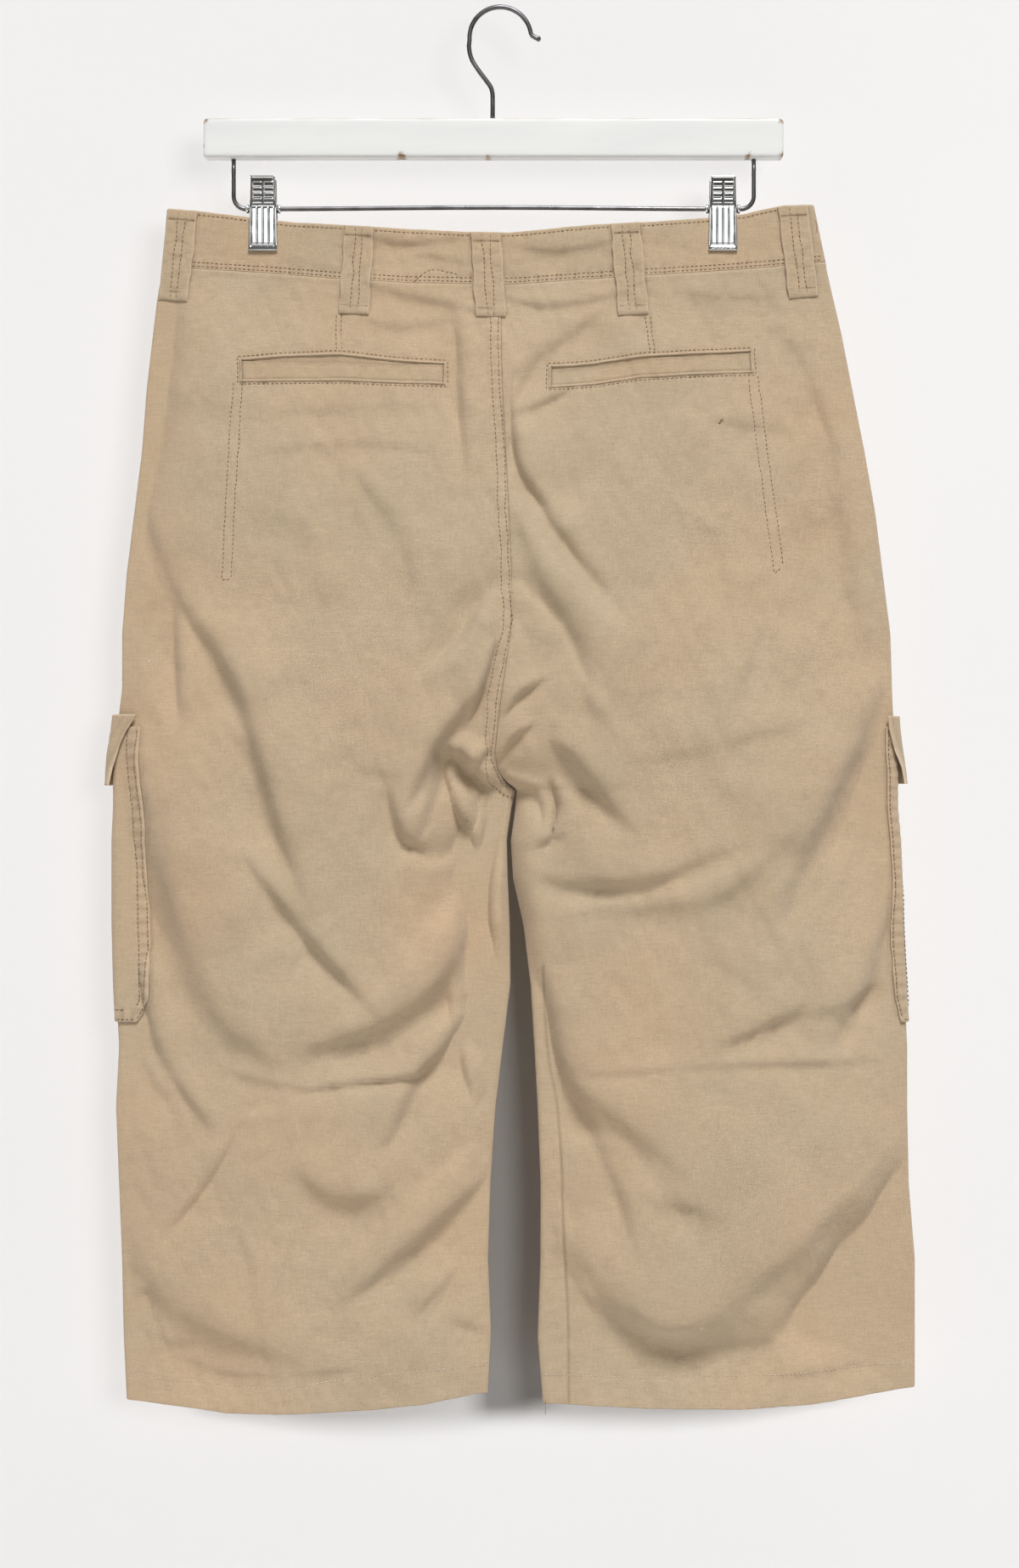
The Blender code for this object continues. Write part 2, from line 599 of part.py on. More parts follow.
def build():
    for old in list(bpy.data.objects):
        bpy.data.objects.remove(old, do_unlink=True)
    shorts = bpy.data.collections.new("CargoShorts")
    bpy.context.scene.collection.children.link(shorts)
    cloth = material("cloth", (0.51, 0.38, 0.24), 0.9)
    trim = material("trim_cloth", (0.49, 0.365, 0.23), 0.9)
    chrome = material("chrome", (0.78, 0.78, 0.8), 0.15, 1.0)
    paint = material("painted_wood", (0.86, 0.84, 0.8), 0.45)
    horn = material("button", (0.22, 0.15, 0.09), 0.4)

    for word, side in (("left", LEFT), ("right", RIGHT)):
        panel("back_" + word, side, BACK, BACK_LEVELS, BACK_SHARES, cloth, shorts)
        panel("front_" + word, side, FRONT, FRONT_LEVELS, FRONT_SHARES, cloth, shorts)
        cargo_pocket("cargo_pocket_" + word, side, cloth, shorts)
        pocket_flap("pocket_flap_" + word, side, trim, shorts)
    waistband(trim, shorts)
    for name, face, top_x, bottom_x, bottom_down in LOOPS:
        belt_loop(name, face, top_x, bottom_x, bottom_down, trim, shorts)
    for name, rows in WELTS:
        welt(name, rows, trim, shorts)
    fly_placket(trim, shorts)
    seat = on_face(FRONT, 4.0, 151.0, SKIN + BAND_RISE + BAND_LAP + 0.5 + BUTTON_DEEP / 2)
    cylinder("waist_button", BUTTON_RADIUS, BUTTON_DEEP, "Y", tuple(seat), horn, shorts)

    bar(paint, shorts)
    hook(chrome, shorts)
    rail(chrome, shorts)
    for word, centre in zip(("left", "right"), CLIP_X):
        jaw("clip_" + word + "_back", centre, BACK, chrome, shorts)
        jaw("clip_" + word + "_front", centre, FRONT, chrome, shorts)
        middle = (centre, 0.0, RAIL_Z)
        cylinder("clip_" + word + "_sleeve", SLEEVE_RADIUS, SLEEVE_LENGTH, "X", middle, chrome,
                 shorts, bore=WIRE_RADIUS + 0.3, sides=14)


build()
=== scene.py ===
"""Looks of the cargo shorts that hang by two clips from a white wooden bar.

The cloth is built on the same form as the solids. Sizes are in millimetres, the origin is
the inside of the hook's crest and the shorts' back faces -Y. "Down" is a distance below the
origin, and a "level" is the same before the waist seam and the hem are given their curves.
"""

import math

import bpy
import numpy as np
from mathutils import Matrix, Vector


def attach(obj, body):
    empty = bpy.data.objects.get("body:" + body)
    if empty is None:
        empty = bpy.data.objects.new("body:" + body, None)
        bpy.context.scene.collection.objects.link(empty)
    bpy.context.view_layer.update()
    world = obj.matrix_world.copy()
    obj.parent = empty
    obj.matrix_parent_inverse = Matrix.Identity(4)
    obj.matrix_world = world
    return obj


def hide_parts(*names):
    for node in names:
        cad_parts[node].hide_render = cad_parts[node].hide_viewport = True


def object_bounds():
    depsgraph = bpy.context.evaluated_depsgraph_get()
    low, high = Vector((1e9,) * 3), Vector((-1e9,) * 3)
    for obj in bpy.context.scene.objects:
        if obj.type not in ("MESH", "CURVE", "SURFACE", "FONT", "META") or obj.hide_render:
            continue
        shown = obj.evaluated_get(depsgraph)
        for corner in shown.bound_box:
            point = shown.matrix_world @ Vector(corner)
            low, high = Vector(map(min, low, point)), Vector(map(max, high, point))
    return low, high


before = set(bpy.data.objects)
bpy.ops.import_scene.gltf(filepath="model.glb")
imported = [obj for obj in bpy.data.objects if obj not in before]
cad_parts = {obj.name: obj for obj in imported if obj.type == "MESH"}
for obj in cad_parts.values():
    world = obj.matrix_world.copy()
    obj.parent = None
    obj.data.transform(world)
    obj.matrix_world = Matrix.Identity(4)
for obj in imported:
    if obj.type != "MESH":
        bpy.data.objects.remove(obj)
cad_low, cad_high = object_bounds()

MM = 0.001

# ---------------------------------------------------------------- sizes of the cloth's form
SKIN = 2.2
CLOTH = 1.2
BAND_RISE = 0.6
BAND_CLOTH = 2.2
PATCH_GAP = 0.8
CAP_ARC = 3.5

BACK = 0
FRONT = 1
FACES = (BACK, FRONT)
FACE_WORDS = ("back", "front")
OUTWARD = (-1, 1)
LEFT = -1
RIGHT = 1
SIDES = {LEFT: "left", RIGHT: "right"}

BAND_TOP = 131.0
WAIST_SEAM = 168.0
SEAT_CURVE_START = 396.0
CROTCH = 512.0
CROTCH_TURN = 26.0
HEM = 912.0

CLIP_X = (-155.4, 145.9)
PINCH_WIDTH = 36.0
PINCH_SHARE = 0.95

# level, left side, left inner edge, right inner edge, right side, back depth, front depth
FORM = np.array((
    (130, -218, 0.6, 0.6, 205, 4.0, 4.0),
    (168, -221, 0.6, 0.6, 213, 4.8, 4.5),
    (190, -225, 0.6, 0.6, 218, 6.2, 5.4),
    (215, -228, 0.8, 0.8, 224, 8.4, 7.0),
    (250, -232, 1.5, 1.5, 231, 11.5, 9.0),
    (290, -235, 3.5, 3.5, 239, 15.5, 12.0),
    (330, -240, 5.6, 5.6, 246, 19.0, 14.5),
    (370, -245, 7.3, 7.3, 251, 22.0, 17.0),
    (410, -248, 6.9, 6.9, 256, 24.0, 19.0),
    (445, -248, 1.5, 1.5, 257, 25.0, 20.0),
    (470, -251, -1.7, -1.7, 258, 25.0, 20.5),
    (488, -252, -3.5, -3.5, 258, 24.5, 20.5),
    (500, -252, -1.9, -1.9, 259, 24.0, 20.5),
    (508, -252, 5.5, 5.5, 259, 24.0, 20.5),
    (512, -252, 10.2, 11.0, 259, 24.0, 20.5),
    (524, -252, 7.6, 9.8, 259, 23.5, 20.5),
    (545, -253, 4.6, 6.9, 261, 23.0, 20.0),
    (570, -253, 5.2, 8.4, 262, 22.5, 20.0),
    (600, -253, 6.5, 15.2, 263, 22.0, 19.5),
    (640, -252, 6.9, 19.9, 265, 21.0, 19.0),
    (680, -250, 2.1, 22.3, 267, 20.5, 18.5),
    (720, -252, -2.7, 24.5, 267, 20.0, 18.0),
    (770, -250, -6.1, 26.4, 268, 18.5, 17.0),
    (820, -248, -7.7, 26.3, 272, 17.0, 16.0),
    (870, -247, -5.7, 24.5, 272, 15.0, 14.5),
    (912, -245, -7.8, 27.9, 272, 13.5, 13.0),
))

# x, down
BAND_EDGE = np.array((
    (-218, 131.0), (-196, 133.0), (-170, 136.0), (-133, 140.4), (-105, 142.1), (-66, 144.9),
    (-19, 147.1), (6, 147.4), (28, 145.4), (62, 142.1), (101, 139.9), (134, 137.2),
    (160, 134.6), (173, 131.4), (186, 129.0), (205, 128.4),
))
WAIST_LINE = np.array((
    (-222, 168.3), (-201, 170.5), (-153, 173.3), (-105, 177.7), (-79, 179.4), (-61, 180.5),
    (4, 181.6), (95, 175.5), (180, 169.4), (214, 165.8),
))
HEM_LINE = np.array((
    (-245, 911.5), (-199, 915.8), (-179, 918.6), (-139, 918.6), (-81, 915.8), (-51, 913.0),
    (-15, 907.4), (8, 906.6), (20, 913.0), (28, 914.1), (97, 916.3), (159, 916.3),
    (204, 913.0), (242, 907.4), (273, 903.0),
))

# Creases of the back: name, half width and height of the steep face, points (x, down).
# A face with a negative height is turned from the light, and one with a positive height to it.
BACK_CREASES = (
    ("seat_left", 5, -1.5, ((-27, 206), (-25, 233), (-24, 259), (-21, 300))),
    ("seat_right_upper", 8, -1.5, ((65, 201), (41, 218), (18, 236), (7, 267))),
    ("seat_right_middle", 4, -1.9, ((8, 256), (11, 286), (16, 306), (30, 326))),
    ("seat_right_lower", 5, -2.2, ((25, 321), (35, 337), (46, 353), (66, 378))),
    ("seat_ridge", 9, 3.2, ((13, 324), (28, 350), (46, 374), (69, 399))),
    ("seat_shadow", 12, -3.3, ((14, 339), (31, 381), (52, 416), (61, 456))),
    ("seat_nick", 4, -1.6, ((11, 266), (25, 261), (41, 252))),
    ("band_fold_left", 6, -1.8, ((-85, 183), (-61, 189), (-38, 194), (-18, 199))),
    ("band_fold_right", 5, -1.8, ((4, 190), (24, 196), (44, 195), (75, 189))),
    ("band_fold_far", 6, -1.2, ((118, 186), (145, 190), (176, 189))),
    ("vee_left", 6, 2.4, ((-46, 436), (-24, 414), (-8, 388), (6, 380))),
    ("vee_right", 7, 2.2, ((15, 384), (33, 402), (55, 438), (76, 467))),
    ("seam_drag_left", 3, -3.0, ((-19, 462), (-15, 450), (-10, 435), (-6, 420))),
    ("seam_drag_right", 3, -2.4, ((4, 461), (10, 452), (18, 446), (29, 440))),
    ("seam_drag_low", 3, -2.4, ((-1, 492), (4, 483), (10, 477), (20, 470))),
    ("seam_drag_pit", 3, -1.8, ((-18, 500), (-14, 492), (-9, 484))),
    ("crotch_fan_left", 6, -3.6, ((-58, 516), (-45, 488), (-31, 468), (-18, 452))),
    ("crotch_fan_low", 6, -1.4, ((-89, 500), (-67, 502), (-50, 501))),
    ("crotch_pit", 5, -6.0, ((-35, 490), (-30, 488), (-24, 489), (-13, 503), (-5, 509))),
    ("crotch_peak", 6, 2.4, ((-45, 488), (-43, 500), (-46, 516), (-52, 532))),
    ("crotch_split", 4, -3.0, ((-34, 500), (-31, 512), (-27, 526), (-22, 540), (-19, 560))),
    ("crotch_hollow_left", 5, -3.2, ((-70, 512), (-66, 530), (-61, 543), (-52, 550))),
    ("crotch_lump_left", 6, 2.2, ((-60, 553), (-47, 560), (-34, 557), (-22, 549))),
    ("crotch_edge_left", 3, -3.4, ((-43, 487), (-34, 484), (-28, 491), (-20, 500), (-9, 505))),
    ("hip_curve", 9, -1.2, ((-108, 296), (-74, 331), (-56, 373), (-51, 405))),
    ("welt_pull_left", 6, -0.8, ((-160, 268), (-110, 264), (-52, 262))),
    ("welt_pull_low", 5, -1.0, ((-150, 291), (-95, 287), (-40, 292))),
    ("spot_fold", 6, -1.2, ((140, 271), (162, 274), (187, 276))),
    ("thigh_faint_right", 8, -1.4, ((97, 492), (132, 485), (170, 476), (207, 466))),
    ("thigh_faint_up", 8, -1.0, ((146, 463), (157, 440), (169, 413))),
    ("hip_left_upper", 7, -1.8, ((-232, 323), (-222, 355), (-209, 385), (-197, 409))),
    ("hip_left_inner", 5, -2.0, ((-211, 395), (-209, 428), (-207, 460))),
    ("hip_left_long", 11, -4.8, ((-197, 402), (-178, 432), (-164, 460), (-146, 524), (-125, 582))),
    ("knee_crease_left", 7, -4.4, ((-160, 562), (-139, 588), (-116, 617), (-84, 652))),
    ("thigh_ridge_left", 10, 2.4, ((-93, 655), (-60, 628), (-33, 588), (-10, 546))),
    ("thigh_shadow_left", 13, -6.0, ((-117, 679), (-74, 664), (-38, 634), (-14, 590))),
    ("side_swag_left", 20, -5.4, ((-236, 500), (-222, 560), (-204, 620), (-182, 662), (-158, 682))),
    ("pocket_corner_left", 6, -2.6, ((-234, 629), (-227, 665), (-213, 697), (-191, 727))),
    ("below_pocket_left", 7, -1.2, ((-239, 677), (-228, 697), (-209, 725))),
    ("inseam_left_dark", 9, -6.6, ((4, 514), (0, 546), (-6, 582), (-6, 625))),
    ("inseam_left_fine", 4, -2.4, ((-13, 520), (-17, 545), (-17, 575), (-13, 622), (-15, 655))),
    ("inseam_left_nick", 4, -1.6, ((-33, 623), (-32, 643), (-31, 665))),
    ("knee_line_left", 3, -2.8, ((-120, 706), (-94, 702), (-72, 700), (-53, 697))),
    ("knee_line_far", 3, -1.5, ((-173, 697), (-152, 702), (-125, 706))),
    ("knee_line_light", 4, 1.4, ((-170, 724), (-158, 721), (-144, 719))),
    ("knee_line_rise", 6, -2.8, ((-57, 699), (-42, 685), (-27, 662))),
    ("knee_drop_left", 7, -2.0, ((-74, 740), (-64, 718), (-52, 692))),
    ("knee_drop_inner", 5, -1.8, ((-30, 670), (-24, 689), (-18, 710))),
    ("shin_thin_left", 4, -1.1, ((-168, 725), (-182, 751), (-199, 777), (-224, 807))),
    ("shin_bowl_left", 12, -4.6, ((-134, 757), (-118, 772), (-103, 779), (-84, 777), (-69, 766))),
    ("shin_trough_left", 9, -4.4, ((-92, 837), (-72, 820), (-53, 804), (-13, 768))),
    ("shin_ridge_left", 7, 2.0, ((-98, 818), (-64, 788), (-26, 750))),
    ("hem_nick_left", 6, -1.8, ((-36, 856), (-22, 862), (-6, 867))),
    ("shin_faint_left", 6, -1.3, ((-57, 854), (-44, 842), (-30, 826))),
    ("corner_dent_left", 19, -6.4, ((-246, 808), (-220, 846), (-182, 868), (-136, 882))),
    ("hem_wrinkle_left", 7, -1.8, ((-205, 885), (-180, 893), (-150, 894))),
    ("hem_wrinkle_inner", 5, -1.2, ((-138, 893), (-118, 891), (-96, 889))),
    ("hem_wrinkle_edge", 4, -2.0, ((-247, 853), (-238, 846), (-230, 838))),
    ("hem_wrinkle_low", 5, -1.2, ((-232, 868), (-214, 874), (-194, 872))),
    ("shin_streak_dark", 5, -0.4, ((-168, 800), (-158, 840), (-152, 872))),
    ("shin_streak_light", 4, 0.5, ((-136, 800), (-145, 840), (-149, 870))),
    ("hem_wrinkle_right", 5, -1.2, ((176, 897), (206, 893), (236, 888))),
    ("crotch_lump_right", 7, 1.8, ((4, 500), (14, 504), (26, 508), (36, 514))),
    ("crotch_roll_right", 4, -3.4, ((6, 511), (16, 512), (25, 516), (29, 524), (29, 534))),
    ("crotch_crease_right", 7, -5.2, ((38, 484), (48, 492), (62, 510), (84, 535))),
    ("crotch_pinch_right", 4, -3.0, ((36, 509), (39, 518), (40, 526), (36, 540))),
    ("crotch_tongue_right", 4, 1.2, ((29, 515), (34, 526), (33, 537), (29, 545))),
    ("crotch_line_right", 5, -2.6, ((8, 555), (16, 551), (25, 547), (38, 541))),
    ("swag_right", 9, -4.6, ((15, 564), (32, 571), (48, 574), (98, 571), (141, 553))),
    ("swag_light_right", 11, 3.0, ((20, 580), (70, 586), (118, 575), (165, 556))),
    ("swag_low_right", 12, -3.8, ((58, 591), (100, 589), (141, 582), (184, 546))),
    ("hip_right_long", 15, -4.4, ((246, 452), (234, 481), (206, 536), (184, 584))),
    ("pocket_trough_right", 9, -2.6, ((252, 595), (241, 628), (229, 651), (219, 670))),
    ("pocket_dent_right", 7, -2.1, ((150, 674), (184, 661), (213, 657), (228, 667))),
    ("pocket_dent_high", 5, -2.4, ((213, 655), (228, 650), (243, 639))),
    ("knee_faint_right", 7, -1.7, ((149, 676), (173, 665), (200, 650))),
    ("thigh_faint_low", 8, -1.4, ((142, 623), (164, 640), (188, 655))),
    ("knee_line_right_a", 3, -2.0, ((56, 697), (79, 696), (108, 693))),
    ("knee_line_right_b", 3, -1.7, ((122, 692), (173, 690), (207, 690), (238, 689))),
    ("inner_band_right", 12, -5.4, ((32, 640), (38, 680), (47, 704), (60, 726))),
    ("inner_faint_right", 8, -1.8, ((55, 718), (71, 752), (83, 785), (91, 813))),
    ("knee_trough_right", 13, -5.0, ((57, 711), (86, 735), (124, 764))),
    ("knee_lens_right", 11, -4.6, ((98, 780), (127, 783), (154, 794))),
    ("long_trough_right", 16, -4.0, ((170, 874), (198, 842), (227, 804), (256, 766), (272, 745))),
    ("calf_fall_right", 26, -9.0, ((120, 862), (158, 838), (204, 796), (250, 752))),
    ("hem_fall_right", 21, -8.4, ((48, 818), (80, 850), (118, 866), (164, 860))),
    ("calf_light_right", 8, 1.6, ((262, 734), (232, 764), (196, 790), (160, 812))),
    ("hem_bowl_right", 12, -4.2, ((62, 847), (92, 862), (127, 873), (170, 873))),
    ("side_faint_right", 8, -1.8, ((260, 832), (249, 860), (239, 885))),
    ("upper_leg_right", 16, -2.6, ((218, 306), (229, 350), (234, 406))),
    ("side_seam_right_fold", 9, -1.8, ((190, 217), (209, 256), (223, 306))),
    ("hip_left_soft", 18, -3.4, ((-208, 196), (-212, 240), (-221, 300), (-234, 356))),
    ("band_dent", 6, -0.6, ((-144, 165), (-125, 168), (-105, 170))),
    ("band_soft_1", 5, -1.6, ((-88, 151), (-62, 155), (-32, 152))),
    ("band_soft_2", 4, -0.8, ((-70, 167), (-48, 163), (-24, 168))),
    ("band_soft_3", 5, -1.6, ((10, 156), (36, 160), (66, 155))),
    ("band_soft_4", 4, -0.7, ((98, 151), (122, 155), (142, 151))),
    ("yoke_soft_1", 6, -1.2, ((-88, 205), (-66, 210), (-38, 206))),
    ("yoke_soft_2", 6, -0.5, ((24, 212), (50, 207), (80, 210))),
    ("welt_corner_right", 3, -0.7, ((46, 251), (38, 256), (28, 260), (20, 265))),
    ("seat_soft_left", 9, -1.0, ((-150, 330), (-128, 352), (-112, 392))),
    ("seat_soft_right", 9, -1.0, ((120, 330), (142, 352), (150, 398))),
    ("thigh_soft_left", 8, -1.0, ((-150, 500), (-128, 512), (-96, 508))),
)
# Rolls of the back are round, higher (or lower) than the cloth on both sides
BACK_ROLLS = (
    ("left_inside_falls_back", 15, -8.0, ((-10, 505), (-8, 545), (-9, 600), (-18, 690))),
    ("right_inside_stands", 9, 6.5, ((14, 516), (14, 546), (17, 575), (25, 615), (33, 660))),
    ("crotch_cheek_right", 12, 2.6, ((6, 480), (16, 489), (30, 498))),
)
# The front hangs with the same kind of creases
FRONT_CREASES = (
    ("hip_left", 14, -4.0, ((-200, 300), (-170, 380), (-120, 450))),
    ("hip_right", 14, -4.0, ((205, 310), (160, 390), (110, 450))),
    ("thigh_left", 13, -3.6, ((-40, 560), (-90, 600), (-150, 610))),
    ("thigh_right", 13, -3.6, ((50, 570), (110, 605), (165, 600))),
    ("knee_left", 13, -4.0, ((-190, 720), (-130, 760), (-60, 740))),
    ("knee_right", 13, -4.0, ((60, 740), (120, 775), (200, 750))),
    ("crotch_left", 8, -4.2, ((-12, 470), (-40, 496), (-75, 540))),
    ("crotch_right", 7, -4.0, ((14, 468), (44, 500), (84, 532))),
    ("crotch_low_left", 6, -2.6, ((-10, 508), (-26, 530), (-44, 574))),
    ("crotch_low_right", 6, -2.8, ((20, 512), (38, 540), (48, 590))),
    ("knee_line_left", 3, -2.0, ((-140, 704), (-96, 699), (-50, 702))),
    ("knee_line_right", 3, -1.8, ((66, 700), (120, 697), (190, 703))),
    ("shin_left", 10, -3.8, ((-30, 770), (-80, 820), (-150, 850))),
    ("shin_right", 12, -4.2, ((70, 800), (130, 850), (210, 872))),
    ("band_left", 6, -1.8, ((-190, 190), (-150, 196), (-112, 200))),
    ("band_right", 6, -1.8, ((60, 194), (110, 200), (160, 190))),
)

# ---------------------------------------------------------------- lines of seams, (x, down)
SEAT_SEAM = (
    (0.6, 182), (0.6, 204), (1.7, 257), (5.0, 317), (8.4, 395), (6.1, 417), (0.6, 451),
    (-1.7, 470), (-3.9, 492), (-1.1, 503), (6.7, 509), (11.0, 512),
)
DARTS = (
    ((-103.5, 201), (-103.8, 212), (-103.5, 226)),
    ((98.0, 202), (99.6, 214), (101.0, 226)),
)
# Rows down the outer side of each back pocket's bag
BAG_ROWS = (
    (((-174, 246), (-178, 310), (-181, 375)), ((-168, 246), (-172, 310), (-175, 375))),
    (((162, 243.5), (170, 308), (178, 371)), ((168, 240.7), (176, 304), (184, 366))),
)
HEM_ROWS = (
    ((-245, 893), (-220, 897.5), (-195, 899), (-161, 901.8), (-138, 901.2), (-100, 895.5),
     (-60, 891.5), (-8, 888.5)),
    ((27, 895), (60, 895.8), (99, 896.3), (172, 894.6), (225, 890), (273, 886.5)),
)
INSEAM_RIGHT = (
    (28, 627), (29.5, 660), (32, 690), (37, 716), (40, 755), (41, 791), (43, 828), (44.5, 866),
    (45, 913),
)
REPAIR_HUMP = ((-57, 180.6), (-46, 172.2), (-33, 173.8), (-28, 175.5), (-29.5, 178.3))
FRONT_POCKETS = (
    ((-150.0, 177.0), (-172.0, 225.0), (-208.0, 306.0)),
    ((148.0, 174.0), (170.0, 222.0), (212.0, 304.0)),
)
FRONT_SEAM = ((0.8, 338.0), (4.0, 380.0), (5.0, 420.0), (0.0, 452.0), (-2.6, 488.0))

# Loops: name, face, top x, bottom x, bottom down
LOOP_WIDTH = 19.5
LOOP_CLOTH = 1.4
LOOP_LONG = 60.0
LOOP_ROWS = (-2.3, 2.3)
LOOPS = (
    ("belt_loop_back_1", BACK, -207.5, -214.0, 191.5),
    ("belt_loop_back_2", BACK, -92.0, -95.5, 201.0),
    ("belt_loop_back_3", BACK, -9.5, -6.0, 203.0),
    ("belt_loop_back_4", BACK, 81.5, 87.0, 201.5),
    ("belt_loop_back_5", BACK, 191.5, 198.5, 189.5),
    ("belt_loop_front_1", FRONT, -112.0, -112.0, 199.0),
    ("belt_loop_front_2", FRONT, 110.0, 110.0, 199.0),
)
LOOP_LIFT = np.array(((0.0, 0.9), (0.2, 1.1), (0.4, 1.2), (0.6, 1.1), (0.8, 0.7), (1.0, 0.1)))

# Welts: x, top down, bottom down, gape of the mouth
WELT_CLOTH = 1.4
WELTS = {
    LEFT: np.array((
        (-170, 230.7, 245.9, 0.5), (-155, 229.2, 245.7, 2.2), (-141, 227.9, 245.5, 3.5),
        (-122, 227.2, 245.4, 4.4), (-104, 226.8, 245.4, 4.9), (-85, 229.0, 246.2, 3.9),
        (-65, 231.2, 247.1, 2.8), (-50, 232.2, 247.3, 1.0), (-36, 232.9, 247.5, 0.5),
    )),
    RIGHT: np.array((
        (32, 234.9, 250.1, 1.6), (46, 234.3, 249.0, 2.4), (60, 233.0, 248.0, 2.1),
        (76, 230.6, 245.6, 2.7), (92, 228.3, 243.3, 2.1), (108, 227.4, 242.4, 1.0),
        (124, 226.2, 241.2, 2.1), (144, 225.2, 240.3, 1.6), (165, 224.1, 239.4, 0.8),
    )),
}

# Cargo pockets: level, and how far the rear edge reaches round the side onto the back
POCKET_CLOTH = 1.3
POCKET_BOTTOM = 664.0
POCKET_FRONT_SHARE = 0.42
POCKET_BACK = {
    LEFT: np.array((
        (470, 13.0), (495, 13.5), (534, 18.5), (570, 19.5), (615, 20.0), (650, 19.5), (664, 9.0),
    )),
    RIGHT: np.array((
        (470, 1.5), (532, 1.5), (570, 1.5), (592, 4.0), (622, 4.0), (650, 3.0), (664, 0.5),
    )),
}
POCKET_TUCK = 1.8
POCKET_ROWS = (1.8, 8.0)
CHAMFER = 13.0
# Flaps: level, place of the rear end round the side (negative on the back), and how far the
# flap stands away there
FLAP_CLOTH = 1.5
FLAP_OUT = SKIN + PATCH_GAP + POCKET_CLOTH + 0.9
FLAPS = {
    LEFT: np.array((
        (462.5, -12.0, 0.0), (472.0, -7.5, 0.2), (484.0, -2.5, 1.2), (497.0, 0.5, 2.4),
        (509.0, 1.5, 3.4),
    )),
    RIGHT: np.array((
        (463.5, -2.0, 0.0), (472.0, -1.5, 0.4), (484.0, 0.0, 1.6), (497.0, 1.5, 3.0),
        (508.0, 2.0, 3.9),
    )),
}
FLAP_FRONT_REACH = 4.0
FLAP_ROWS = (1.6, 7.0)

# Front closing
FLY_X = (-36.0, -25.0, -13.0, -1.0)
FLY_BOTTOM = (296.0, 318.0, 331.0, 336.0)
FLY_OUT = SKIN + PATCH_GAP * 0.6
FLY_ROWS = (1.6, 6.6)
BAND_OVER_END = 20.0
BAND_UNDER_END = -12.0
BAND_LAP_START = -34.0
BAND_LAP = 2.5
BUTTON_PLACE = (4.0, 151.0)
BUTTON_RADIUS = 8.5
BUTTON_DEEP = 2.6

# Hanger
BAR_LEFT = -194.4
BAR_RIGHT = 185.5
BAR_TOP = -72.5
BAR_BOTTOM = -98.2
BAR_DEEP = 13.0
BAR_MIDDLE = (BAR_TOP + BAR_BOTTOM) / 2
BAR_ROUND = 2.0
WIRE_RADIUS = 1.5
HOOK_RADIUS = 1.6
HOOK_ARC = 20.2
HOOK_CENTRE = (0.0, -18.6)
# The wire's way from the bar up to the arc, and from the arc to its tip: x, z
HOOK_STEM = (
    (-5.0, BAR_TOP + 0.3), (-5.0, -57.5), (-5.4, -54.0), (-6.5, -50.6), (-9.6, -46.2),
    (-13.4, -41.2), (-16.6, -36.6), (-18.9, -32.4), (-20.1, -28.2), (-20.6, -24.0),
)
HOOK_TIP = ((20.9, -17.1), (23.0, -18.4), (24.6, -19.1))
# The ball at the hook's end: where it starts, how far it goes on and its radius
BALL_PLACE = (24.9, -19.25)
BALL_RUN = (1.7, 0.7)
BALL_RADIUS = 1.9
RAIL_Z = -131.0
RAIL_LEFT = -174.9
RAIL_RIGHT = 166.3
RAIL_BEND = 8.4
RAIL_BOW = 1.0
SLEEVE_LENGTH = 22.6
# The sleeve's wall: place along it from its end, radius
SLEEVE_COLLAR = ((0.0, 1.75), (0.0, 2.9), (0.3, 3.1), (1.3, 3.1), (1.6, 2.9), (1.7, 2.45))
JAW_METAL = 1.0
# Clip plates: z, distance from the middle, width
JAW_LINE = np.array((
    (-110.3, 6.4, 16.2), (-118.0, 4.6, 16.8), (-126.0, 3.1, 17.4), (-131.0, 2.8, 17.8),
    (-136.0, 3.3, 18.1), (-147.0, 3.6, 18.5), (-155.5, 3.5, 18.8), (-159.0, 4.2, 18.9),
))

# ---------------------------------------------------------------- maps of relief over a face
MAP_STEP = 0.8
MAP_LEFT = -292.0
MAP_TOP = 118.0
MAP_COLUMNS = 736
MAP_ROWS = 1020
LIGHT_SIDE = (0.2, -0.98)
CREASE_DEPTH = 2.5
STAND_OUT = 10.0

map_x = MAP_LEFT + MAP_STEP * np.arange(MAP_COLUMNS)
map_down = MAP_TOP + MAP_STEP * np.arange(MAP_ROWS)


def sample(table, x, down):
    """The map's value at these places, between its points."""
    column_at = np.clip((x - MAP_LEFT) / MAP_STEP, 0, MAP_COLUMNS - 1.001)
    row_at = np.clip((down - MAP_TOP) / MAP_STEP, 0, MAP_ROWS - 1.001)
    c, r = column_at.astype(int), row_at.astype(int)
    fc, fr = column_at - c, row_at - r
    upper = table[r, c] * (1 - fc) + table[r, c + 1] * fc
    lower = table[r + 1, c] * (1 - fc) + table[r + 1, c + 1] * fc
    return upper * (1 - fr) + lower * fr


def smooth(share):
    share = np.clip(share, 0.0, 1.0)
    return share * share * (3.0 - 2.0 * share)


def bell(away, width):
    """1 at no distance, and almost nothing beyond twice the width."""
    return np.exp(-((away / width) ** 2))


def column(table, number, at):
    return np.interp(at, table[:, 0], table[:, number])


def soft_line(points, steps=6):
    """A smooth line through the points."""
    points = np.array(points, dtype=float)
    if len(points) < 3:
        return points
    ends = np.concatenate([[2 * points[0] - points[1]], points, [2 * points[-1] - points[-2]]])
    made = []
    for a, b, c, d in zip(ends, ends[1:], ends[2:], ends[3:]):
        for t in np.arange(steps) / steps:
            made.append(0.5 * (2 * b + (c - a) * t + (2 * a - 5 * b + 4 * c - d) * t**2
                               + (3 * b - a - 3 * c + d) * t**3))
    return np.array([*made, points[-1]])


